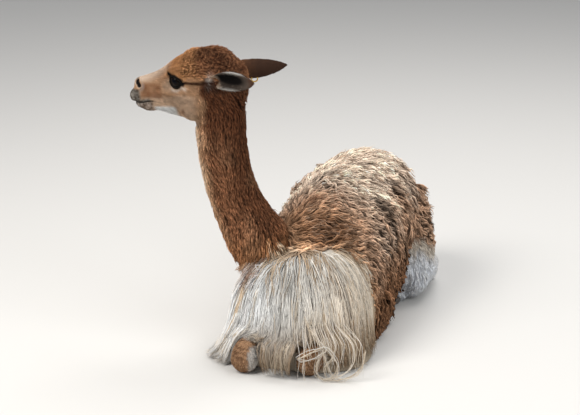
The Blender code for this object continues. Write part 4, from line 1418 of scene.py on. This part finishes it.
def in_windows(rows, reach):
    """The rows shifted by every step up to a reach both ways along their first axis."""
    padded = np.pad(rows, ((reach, reach), (0, 0)), mode="edge")
    return [padded[k:k + len(rows)] for k in range(2 * reach + 1)]


def moving_mean(rows, reach):
    """Rows smoothed along their second axis."""
    return np.mean(in_windows(rows.T, reach), axis=0).T


def bearing_row(bearing):
    """Place of a bearing between the rows of BEARINGS."""
    return (bearing - BEARINGS[0]) / (BEARINGS[1] - BEARINGS[0])


def nearest_row(bearing):
    return np.clip(np.rint(bearing_row(bearing)).astype(int), 0, len(BEARINGS) - 1)


def bearing_of(points):
    angle = np.arctan2(points[..., 1] - BIB_MIDDLE[1], points[..., 0] - BIB_MIDDLE[0])
    return np.where(angle > math.radians(60), angle - math.tau, angle)


class ChestProfile:
    """The chest's surface without the knees: radius and height along a line from the shoulder down
    to the floor, for each bearing round the chest's middle."""

    def __init__(self, tree):
        heights = PROFILE_HEIGHTS
        reach = np.full((len(BEARINGS), len(heights)), np.nan)
        for i, bearing in enumerate(BEARINGS):
            way = Vector((math.cos(bearing), math.sin(bearing), 0.0))
            for j, height in enumerate(heights):
                hit = tree.ray_cast(Vector((*BIB_MIDDLE, height)) + way * RAY_LENGTH, -way, RAY_LENGTH)
                if hit[0] is not None:
                    reach[i, j] = RAY_LENGTH - hit[3]
        for column in reach.T:
            known = ~np.isnan(column)
            column[:] = np.interp(BEARINGS, BEARINGS[known], column[known])
        # grown and then shrunk along the bearing, which fills the hollows beside the knees
        closed = np.min(in_windows(np.max(in_windows(reach, KNEE_WINDOW), axis=0), KNEE_WINDOW), axis=0)
        reach = np.where(heights < KNEE_TOP, closed, reach)
        reach = moving_mean(reach.T, 2).T
        length = np.hypot(np.diff(reach, axis=1), np.diff(heights)[None])
        length = np.concatenate((np.zeros((len(BEARINGS), 1)), np.cumsum(length, axis=1)), axis=1)
        self.end = length[:, -1]
        self.count = int(self.end.max() / PROFILE_STEP) + 1
        stations = np.arange(self.count) * PROFILE_STEP
        self.radius = np.array([np.interp(stations, l, r) for l, r in zip(length, reach)])
        self.height = np.array([np.interp(stations, l, heights) for l in length])
        self.radius, self.height = moving_mean(self.radius, 3), moving_mean(self.height, 3)
        across, along = np.gradient(self.radius, axis=1), np.gradient(self.height, axis=1)
        size = np.maximum(np.hypot(across, along), 1e-9)
        self.out, self.up = -along / size, across / size

    def value(self, table, bearing, station):
        """A table's value between its rows and stations."""
        i = np.clip(bearing_row(bearing), 0, len(BEARINGS) - 1.001)
        j = np.clip(station / PROFILE_STEP, 0, self.count - 1.001)
        a, b = i.astype(int), j.astype(int)
        u, v = i - a, j - b
        return ((table[a, b] * (1 - u) + table[a + 1, b] * u) * (1 - v)
                + (table[a, b + 1] * (1 - u) + table[a + 1, b + 1] * u) * v)

    def left_below(self, bearing, station=0.0):
        """Length of the line from a station down to the floor."""
        return np.interp(bearing, BEARINGS, self.end) - station

    def station_of(self, points):
        """How far down the line each point lies, and how far it is from the line."""
        rows = nearest_row(bearing_of(points))
        reach = gap_to(points[:, :2], BIB_MIDDLE)
        gap = (self.radius[rows] - reach[:, None]) ** 2 + (self.height[rows] - points[:, 2:]) ** 2
        return gap.argmin(axis=1) * PROFILE_STEP, np.sqrt(gap.min(axis=1))

    def place(self, bearing, station, offset):
        """Points over the surface; beyond the floor's edge they run outwards along the floor."""
        end = self.left_below(bearing)
        over = np.clip(station - end, 0.0, 0.030)
        station = np.minimum(station, end)
        reach, height = (self.value(table, bearing, station) + self.value(way, bearing, station) * offset
                         for table, way in ((self.radius, self.out), (self.height, self.up)))
        high = 0.012 * ramp(height, 0.28, 0.235) * ramp(height, 0.15, 0.215)
        low = 0.019 * ramp(height, 0.080, 0.0)
        flare = high * bump(bearing - SWEEP + 0.20, 0.40) + low * bump(bearing - SWEEP, 0.42)
        reach = reach + over * 0.6 + flare * ramp(offset, 0.0, 0.010)
        return np.stack((BIB_MIDDLE[0] + reach * np.cos(bearing),
                         BIB_MIDDLE[1] + reach * np.sin(bearing), height), axis=-1)

    def laid_down(self, paths):
        """Brings the upper part of loose strands down onto the bib's own hair."""
        rows, height = nearest_row(bearing_of(paths)), paths[..., 2]
        away = paths[..., :2] - BIB_MIDDLE
        reach = np.linalg.norm(away, axis=-1)
        rest = reach.copy()
        for row in np.unique(rows):
            there = rows == row
            rest[there] = np.interp(height[there], self.height[row][::-1], self.radius[row][::-1])
        wanted = reach + (rest + 0.85 * BIB_DEPTH - reach) * ramp(height, 0.088, 0.125)
        paths[..., :2] = BIB_MIDDLE + away * (wanted / reach)[..., None]
        return paths


def clear_of_knees(points):
    """Pushes hair out of the knees."""
    for knee in KNEES.values():
        away = points - knee
        size = np.linalg.norm(away / KNEE_RADII, axis=-1, keepdims=True)
        points = np.where(size < 1.0, knee + away / np.maximum(size, 0.35), points)
    return points


def bib_hairs(rng, chest):
    """Roots on the bib and on the coat's edge round it, where the pale hair spreads over it."""
    faces = faces_where(BIB)
    faces = faces[face_middles[faces, 2] > 0.045]
    collar = faces_where(TRUNK, NECK)
    middle = face_middles[collar]
    collar = collar[(middle[:, 2] < 0.34) & (middle[:, 1] < 0.10) & (middle[:, 2] > 0.10)]
    collar = collar[bib_share(face_middles[collar]) > 0.45]
    faces = np.concatenate((faces, collar))
    hairs = hairs_on(rng, faces, BIB_SPACING)
    keep = (hairs[0][:, 2] > 0.10) | (rng.random(len(hairs[0])) < 0.55)
    hairs = [v[keep] for v in hairs]
    station, gap = chest.station_of(hairs[0])
    keep = (hairs[2] == BIB) | (gap < 0.010)
    return faces, *(v[keep] for v in (*hairs, station))


def grow_bib(chest):
    """Long hair that runs out over the shoulders, hangs to the floor and parts round the knees."""
    rng = np.random.default_rng(15)
    faces, roots, normals, labels, station = bib_hairs(rng, chest)
    count, points = len(roots), 7
    centres, bunches = (scatter(rng, faces, spacing)[0] for spacing in (BIB_LOCKS, BIB_BUNCHES))
    lock = nearest(roots * (1, 1, 0.45), centres * (1, 1, 0.45))
    bunch = nearest(roots * (1, 1, 0.35), bunches * (1, 1, 0.35))
    spots = len(centres)
    share = np.linspace(0.0, 1.0, points)[None, :]
    start, goal = bearing_of(roots), bearing_of(centres[lock])
    radius = gap_to(roots[:, :2], BIB_MIDDLE)
    rank = np.clip(abs(goal - start) * radius / 0.006, 0.0, 1.0)
    apart = bearing_of(bunches[bunch]) - start
    # lengths: short ones end in the bib, the rest reach the floor, least so at a lock's edge
    left = chest.left_below(start, station)
    short = (0.150 + 0.100 * rng.random(spots))[lock] * (0.8 + 0.3 * rng.random(count))
    short = short + 0.090 * bump(start - SWEEP + 0.07, 0.50)
    to_floor = left + 0.010 - 0.042 * rng.random(spots)[lock] ** 2 - 0.026 * rng.random(count)
    to_floor = to_floor - 0.012 * rank - 0.20 * np.clip(abs(apart), 0.0, 0.2)
    length = np.minimum(short, to_floor + 0.060 * bump(start - SWEEP, 0.42))
    wedge = throat_share(roots)
    length = np.where(wedge > 0.3, np.minimum(length, 0.018 + 0.020 * rng.random(count)), length)
    for side, knee in KNEES.items():  # hair over a knee ends above it
        over = ramp(abs(start - bearing_of(knee)), 0.25, 0.17)
        stop = left - KNEE_STOP[side] + 0.018 * rng.random(count)
        length = np.where(over > 0.5, np.minimum(length, np.maximum(stop, 0.012)), length)
    # bearings: hairs meet in locks and bunches, sway, and part round the knees
    line = station[:, None] + length[:, None] * share
    far = radius[:, None] + 0.02
    unrolled = np.stack((start * 0.17, roots[:, 2], 0 * start), axis=1)
    sway = 0.006 * noise(unrolled, 0.03, 81)[:, None] / far
    meet = np.clip(goal - start, -0.12, 0.12)[:, None] * 0.80
    bearing = start[:, None] + meet * ramp(share, 0.1, 1.0) + sway * share
    bearing = bearing + np.clip(apart, -0.16, 0.16)[:, None] * 0.58 * ramp(share, 0.45, 1.0)
    curl = rng.random((spots, 3))[lock]
    bend = np.sin(share * math.tau * (0.5 + 0.7 * curl[:, :1]) + math.tau * curl[:, 1:2])
    bearing = bearing + (0.0022 + 0.0035 * curl[:, 2:]) / far * bend * ramp(share, 0.0, 0.4)
    for side, knee in KNEES.items():
        away = bearing - bearing_of(knee) - (0.05 if side == LEFT else 0.0)
        low = ramp(line - left[:, None] - station[:, None], -0.092, -0.050)
        bearing = bearing + np.sign(away) * 0.17 * bump(away, 0.26) * low
    layer = (0.25 + 0.72 * rng.random(count) ** 0.8)[:, None] * BIB_DEPTH
    offset = layer * ramp(share, 0.0, 0.30) * (1.0 - 0.25 * ramp(share, 0.7, 1.0)) - 0.001 * (1 - share)
    offset = offset + 0.010 * (wedge[:, None] > 0.3) * ramp(share, 0.1, 0.6)
    paths = clear_of_knees(chest.place(bearing, line, offset))
    paths[:, 0] = roots - normals * 0.001
    paths[:, :, 2] = np.maximum(paths[:, :, 2], 0.0026 + 0.003 * rng.random(count)[:, None])
    # colours: by lock, and by rank as painted shade towards a lock's edge, lighter and darker across the
    # chest as painted light and shade, with straw and cream ones
    x, _, z = roots.T
    collar = (labels != BIB) & (wedge < 0.3)
    base = mix(markings_and_painted_light(roots, normals, labels), CREAM, 0.72 * collar)
    # whiter towards the animal's right: painted light
    base = mix(base, PAINTED_LIGHT_WHITE, 0.80 * collar * ramp(x, -0.07, -0.11))
    tone = (0.84 + 0.26 * rng.random(spots))[lock] * (1.08 - 0.36 * rank)
    across = 1.0 + 0.18 * ramp(x, 0.00, -0.07) - 0.14 * bump(x - 0.01, 0.045)
    across = across + 0.10 * ramp(z, 0.20, 0.24) + 0.14 * ramp(x, 0.06, 0.11)
    base = base * (tone * across)[:, None] * vary(rng, count, 0.10)
    straw = (rng.random(spots)[lock] < 0.16)[:, None]
    base = np.where(straw, base * (0.84, 0.76, 0.66), base)
    colours = shaded(base, points, 0.72, 1.03, CREAM, 0.20 * rng.random(count), 0.0, 0.25)
    straw_share = 0.32 + 0.50 * ramp(roots[:, :1], -0.05, 0.08)
    tint = np.where(rng.random((spots, 1))[lock] < straw_share, STRAW, DUSTY_CREAM)
    tint = tint * vary(rng, count, 0.15) * (0.92 - 0.42 * rank)[:, None]
    low = ramp(paths[:, :, 2], 0.14, 0.03) * (0.15 + 0.85 * ramp(paths[:, :, 0], -0.12, -0.05))
    beside = (bib_share(roots) * (labels != BIB))[:, None]
    for over, part in ((tint[:, None], 0.88 * low),
                       (CREAM, 0.5 * wedge[:, None] * ramp(share, 0.5, 1.0)),
                       (TAN, 0.4 * beside * ramp(share, 0.35, 0.0))):
        colours = mix(colours, over, part)
    widths = profile(count, points, 0.0021 * vary(rng, count, 0.3), 0.80, 0.25)
    add_coat("bib_hair", 3, start, paths, normals, widths, colours, roots, **LONG, flatness=0.35)


# ---------------------------------------------------------------- loose curls at the left knee
CURL_POINTS = 26
CURL_STRANDS = 34  # that fall straight from the bib past the knee
CURL_REACH = 0.205  # how far to the left the strands hang freely; beyond it they bend back
# each bundle's strands, and its line in mm seen from in front of the left knee: right, and height
CURLS = (
    (8, ((-8, 165), (4, 128), (26, 94), (52, 70), (67, 42), (60, 12), (36, 5), (18, 22), (19, 52),
         (36, 78), (50, 86))),
    (5, ((12, 170), (16, 125), (30, 80), (43, 45), (52, 20), (72, 7), (100, 12), (124, 30), (134, 52))),
    (5, ((-28, 58), (-6, 68), (18, 80), (40, 82), (54, 70), (58, 50))),
    (4, ((-22, 62), (-24, 56), (-4, 55), (20, 64), (38, 80), (26, 94))),
    (3, ((-4, 140), (-12, 110), (-14, 70), (-13, 30), (-12, 4))),
    (5, ((86, 150), (100, 100), (104, 60), (92, 30), (64, 12), (34, 5))),
    (4, ((135, 75), (128, 45), (108, 20), (80, 8), (55, 4), (30, 3))),
    (4, ((60, 130), (62, 90), (54, 62), (38, 40), (40, 15), (58, 6))),
)
CURL_RIGHT = unit(np.array((0.936, 0.351, 0.0)))
CURL_FRONT = np.array((0.351, -0.936, 0.0))


def smooth_line(corners, count):
    """Points evenly spread along a smooth line through the corners."""
    share = np.linspace(0.0, len(corners) - 1, count)
    ends = np.concatenate((2 * corners[:1] - corners[1:2], corners, 2 * corners[-1:] - corners[-2:-1]))
    i = np.minimum(share.astype(int), len(corners) - 2)
    t = (share - i)[:, None]
    a, b, c, d = (ends[i + k] for k in range(4))
    return b + t / 2 * (c - a + t * (2 * a - 5 * b + 4 * c - d + t * (3 * b - a - 3 * c + d)))


def grow_curls(chest):
    """Loose strands that hang from the bib in open loops before the left knee."""
    rng = np.random.default_rng(17)
    share = np.linspace(0.0, 1.0, CURL_POINTS)
    paths = []

    def add_strand(right, front, height):
        path = KNEES[LEFT] + right[:, None] * CURL_RIGHT + front[:, None] * CURL_FRONT
        path[:, 2] = height
        paths.append(path)

    for strands, corners in CURLS:
        corners = np.array(corners) / 1000.0
        for _ in range(strands):
            own = corners + 0.0022 * rng.standard_normal(corners.shape) + 0.0014 * rng.standard_normal(2)
            right, height = smooth_line(own, CURL_POINTS).T
            front = 0.030 + 0.012 * rng.random() + 0.010 * ramp(height, 0.11, 0.05)
            front = front + 0.004 * np.sin(share * 6.0 + rng.uniform(0, 6))
            add_strand(right, front, np.maximum(height, 0.0026 + 0.002 * rng.random()))
    for _ in range(CURL_STRANDS):
        right, top = rng.uniform(-0.035, 0.120), rng.uniform(0.115, 0.190)
        drop, lean = rng.uniform(0.004, 0.060), rng.uniform(-0.012, 0.022)
        height, turns, phase = rng.uniform((0.001, 0.6, 0.0), (0.004, 1.4, 6.0))
        wave = height * np.sin(share * math.tau * turns + phase)
        front = 0.008 + 0.030 * ramp(share, 0.0, 0.55) + rng.uniform(0.0, 0.006)
        add_strand(right + lean * share + wave, front, top + (drop - top) * share)
    paths = clear_of_knees(chest.laid_down(np.array(paths)))
    paths[:, :, 0] -= 0.4 * np.maximum(paths[:, :, 0] - CURL_REACH, 0.0)
    count = len(paths)
    cream = rng.random((count, 1)) * np.ones(CURL_POINTS)
    colours = mix(np.broadcast_to(WHITE, paths.shape), CREAM, cream)
    widths = profile(count, CURL_POINTS, 0.0012 * vary(rng, count, 0.25), 0.55, 0.5)
    add_tufts("loose_curls", paths, np.tile(CURL_FRONT, (count, 1)), widths, colours, paths[:, 0],
              **LONG, flatness=0.8)
# ---------------------------------------------------------------- eyes, lids and lashes
EYE_GAP = 0.0002  # between the ball and the lids
LID_RIM = (0.005, 0.004, 0.003)
LASH_ROOTS = 240  # places round the opening where a lash may stand


def eye_frame(side):
    """Rows along, above and out of one eye, and its middle, in the row frame."""
    flip = np.array((1.0, side, 1.0))
    axes = np.stack([head_space.turn(v * flip) for v in (EYE_ALONG, EYE_ABOVE, EYE_OUT)])
    return axes, head_space.outside(EYE_PLACE * flip)


def add_to_eye(name, side, verts, tris, colours, finish):
    """A piece given along, above and out of one eye; on a mirrored side its faces are turned over."""
    axes, middle = eye_frame(side)
    mesh = new_mesh(name, verts @ axes + middle, tris[:, ::-1] if np.linalg.det(axes) < 0 else tris)
    paint(mesh, np.broadcast_to(colours, verts.shape))
    return add_piece(name, mesh, finish)


def lid_edge(count, reach, outset=0.0):
    """Points round the opening between the lids, on a ball round the eye, as along, above and out."""
    angle = np.linspace(0.0, math.tau, count, endpoint=False)
    along = (LID_HALF_LENGTH + outset) * np.cos(angle)
    upper = np.sin(angle) > 0
    height = np.where(upper, LID_UPPER, LID_LOWER) + outset
    point = np.where(upper, UPPER_POINT, LOWER_POINT)
    above = height * np.sign(np.sin(angle)) * abs(np.sin(angle)) ** point
    out = np.sqrt(np.maximum(reach**2 - along**2 - above**2, (0.25 * reach) ** 2))
    return np.stack((along, above, out), axis=1)


def closed_tube(ring, radius, around=8):
    """Vertices and triangles of a tube along a closed ring of points."""
    tangents = unit(np.roll(ring, -1, axis=0) - np.roll(ring, 1, axis=0))
    outward = unit(ring)
    angle = (np.arange(around) * math.tau / around)[:, None]
    circle = outward[:, None] * np.cos(angle) + np.cross(tangents, outward)[:, None] * np.sin(angle)
    verts = (ring[:, None] + circle * radius[:, None, None]).reshape(-1, 3)
    i, k = np.divmod(np.arange(len(verts)), around)
    here, beyond, m = i * around, (i + 1) % len(ring) * around, (k + 1) % around
    tris = (here + k, here + m, beyond + m, here + k, beyond + m, beyond + k)
    return verts, np.stack(tris, axis=1).reshape(-1, 3)


def make_eye(side, name):
    """A ball with its cornea, iris and pupil, and the moist dark rim of its lids."""
    bm = bmesh.new()
    bmesh.ops.create_uvsphere(bm, u_segments=96, v_segments=64, radius=1.0)
    ball = bpy.data.meshes.new(name)
    bm.to_mesh(ball)
    bm.free()
    verts, tris = mesh_arrays(ball)
    tris = tris[np.lexsort(tris.T)]  # Blender lists them in another order on each run
    bpy.data.meshes.remove(ball)
    angle = np.arccos(np.clip(verts[:, 2], -1, 1))
    cornea = 1.0 + 0.045 * ramp(angle, math.radians(40), math.radians(12))
    iris = ramp(angle, math.radians(43), math.radians(38))
    turn = np.arctan2(verts[:, 1], verts[:, 0])
    streaks = 0.5 + 0.5 * noise(np.stack((turn * 3, angle * 0.6, 0 * turn), axis=1), 0.25, 91)
    pupil = np.hypot(verts[:, 0] / 1.9, verts[:, 1])
    colours = mix(np.broadcast_to((0.004, 0.003, 0.002), verts.shape),
                  (0.008, 0.004, 0.003), iris * (0.3 + 0.7 * streaks))
    colours = mix(colours, (0.002, 0.002, 0.003), iris * ramp(pupil, 0.27, 0.22))
    place = verts * ((EYE_RADIUS - EYE_GAP) * 0.985 * cornea)[:, None]
    eye = add_to_eye(f"eye_ball_{name}", side, place, tris, colours, eye_finish)
    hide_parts("eye_left" if side == LEFT else "eye_right")
    ring = lid_edge(72, EYE_RADIUS + LID_THICKNESS * 0.45, 0.0006)
    thick = 0.0014 + 0.0005 * (ring[:, 1] > 0) + 0.0006 * ramp(ring[:, 0], 0.009, 0.016)
    add_to_eye(f"lid_rim_ball_{name}", side, *closed_tube(ring, thick), LID_RIM, rim_finish)


def make_lashes():
    """Long dark lashes on the upper lids and short ones below."""
    rng = np.random.default_rng(16)
    share = np.linspace(0, 1, 5)[:, None]
    paths, normals = [], []
    for side in (LEFT, RIGHT):
        axes, middle = eye_frame(side)
        for spot in lid_edge(LASH_ROOTS, EYE_RADIUS + LID_THICKNESS, 0.0012):
            chance, length, drop, bend = ((0.75, 0.0088, -0.25, 0.45) if spot[1] > 0.0005
                                          else (0.20, 0.0040, -0.60, -0.20))
            if rng.random() > chance:
                continue
            length = length * (0.7 + 0.5 * rng.random())
            way = np.array((spot[0] * 22 - 0.15, spot[1] * 25 + drop, 1.0))
            way = unit(way + 0.10 * rng.standard_normal(3))
            path = spot + length * (way * share + 0.5 * np.array((0.0, bend, -0.25)) * share**2)
            paths.append(path @ axes + middle)
            normals.append(axes[2])
    paths = np.array(paths)
    widths = profile(len(paths), len(share), 0.00055, 0.8, 0.2)
    add_tufts("lashes", paths, np.array(normals), widths, np.full(paths.shape, 0.012), paths[:, 0],
              "short_fur", rim_finish, 0.8)


# ---------------------------------------------------------------- putting it together
def dress_cad_nodes():
    """Horn on the toenails and plastic on the ear tag, which keep the CAD's shapes."""
    for name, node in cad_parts.items():
        if name.startswith("toenail") or name == "ear_tag":
            node.data.materials.clear()
            node.data.materials.append(tag_finish if name == "ear_tag" else horn_finish)


def add_skin():
    mesh = new_mesh("skin", skin_verts, skin_tris)
    colours = markings_and_painted_light(skin_verts, skin_normals, skin_labels)
    # the skin's colour is darkened per node as painted shade in the gaps of the coat
    paint(mesh, colours * PAINTED_SHADE_ON_SKIN[skin_labels][:, None])
    skin = add_piece("skin", mesh, skin_finish)
    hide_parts(*FLESH)


add_skin()
chest = ChestProfile(BVHTree.FromPolygons(skin_verts.tolist(), skin_tris.tolist()))
for grow in (grow_fleece, grow_neck, grow_head, grow_crown, grow_ears, grow_legs):
    grow()
grow_bib(chest)
grow_curls(chest)
make_eye(LEFT, "left")
make_eye(RIGHT, "right")
make_lashes()
dress_cad_nodes()


# ---------------------------------------------------------------- floor, light and camera
FLOOR_HALF_SIZE = 15.0
LIGHTS = (  # name, place, target, size, power and colour
    ("key", (-1.6, -2.4, 3.3), (0.0, 0.1, 0.3), 2.1, 172.0, (1.0, 0.98, 0.95)),
    ("fill", (2.8, -1.2, 2.2), (0.0, 0.1, 0.3), 2.2, 60.0, (0.95, 0.98, 1.0)),
    ("top", (0.4, 1.8, 3.6), (0.0, 0.2, 0.3), 2.4, 90.0, (1.0, 1.0, 1.0)),
)
CAMERA_PLACE = (1.42989, -3.88499, 1.61)
CAMERA_WAY = (-0.33624, 0.89668, -0.28793)


def add_to_stage(name, data, place=(0.0, 0.0, 0.0), way=(0.0, 0.0, -1.0)):
    """An object that looks along a way."""
    obj = bpy.data.objects.new(name, data)
    obj.location = place
    obj.rotation_euler = Vector(way).to_track_quat("-Z", "Y").to_euler()
    bpy.context.scene.collection.objects.link(obj)
    return obj


def add_floor():
    bm = bmesh.new()
    bmesh.ops.create_grid(bm, x_segments=1, y_segments=1, size=FLOOR_HALF_SIZE)
    mesh = bpy.data.meshes.new("floor")
    bm.to_mesh(mesh)
    bm.free()
    material = bpy.data.materials.new("pale_floor")
    material.use_nodes = True
    shader = material.node_tree.nodes["Principled BSDF"]
    shader.inputs["Base Color"].default_value = (0.62, 0.60, 0.57, 1)
    shader.inputs["Roughness"].default_value = 0.85
    mesh.materials.append(material)
    floor = add_to_stage("floor", mesh)


add_floor()
for name, place, target, size, power, colour in LIGHTS:
    light = bpy.data.lights.new(name, "AREA")
    light.size, light.energy, light.color = size, power, colour
    add_to_stage(name, light, place, Vector(target) - Vector(place))
camera = bpy.data.cameras.new("camera")
camera.lens, camera.sensor_width = 112.0, 36.0
bpy.context.scene.camera = add_to_stage("camera", camera, CAMERA_PLACE, CAMERA_WAY)
world = bpy.data.worlds.new("studio")
world.use_nodes = True
backdrop = world.node_tree.nodes["Background"].inputs
backdrop["Color"].default_value = (0.90, 0.94, 1.0, 1)
backdrop["Strength"].default_value = 0.38
bpy.context.scene.world = world
bpy.context.scene.view_settings.view_transform = "Standard"
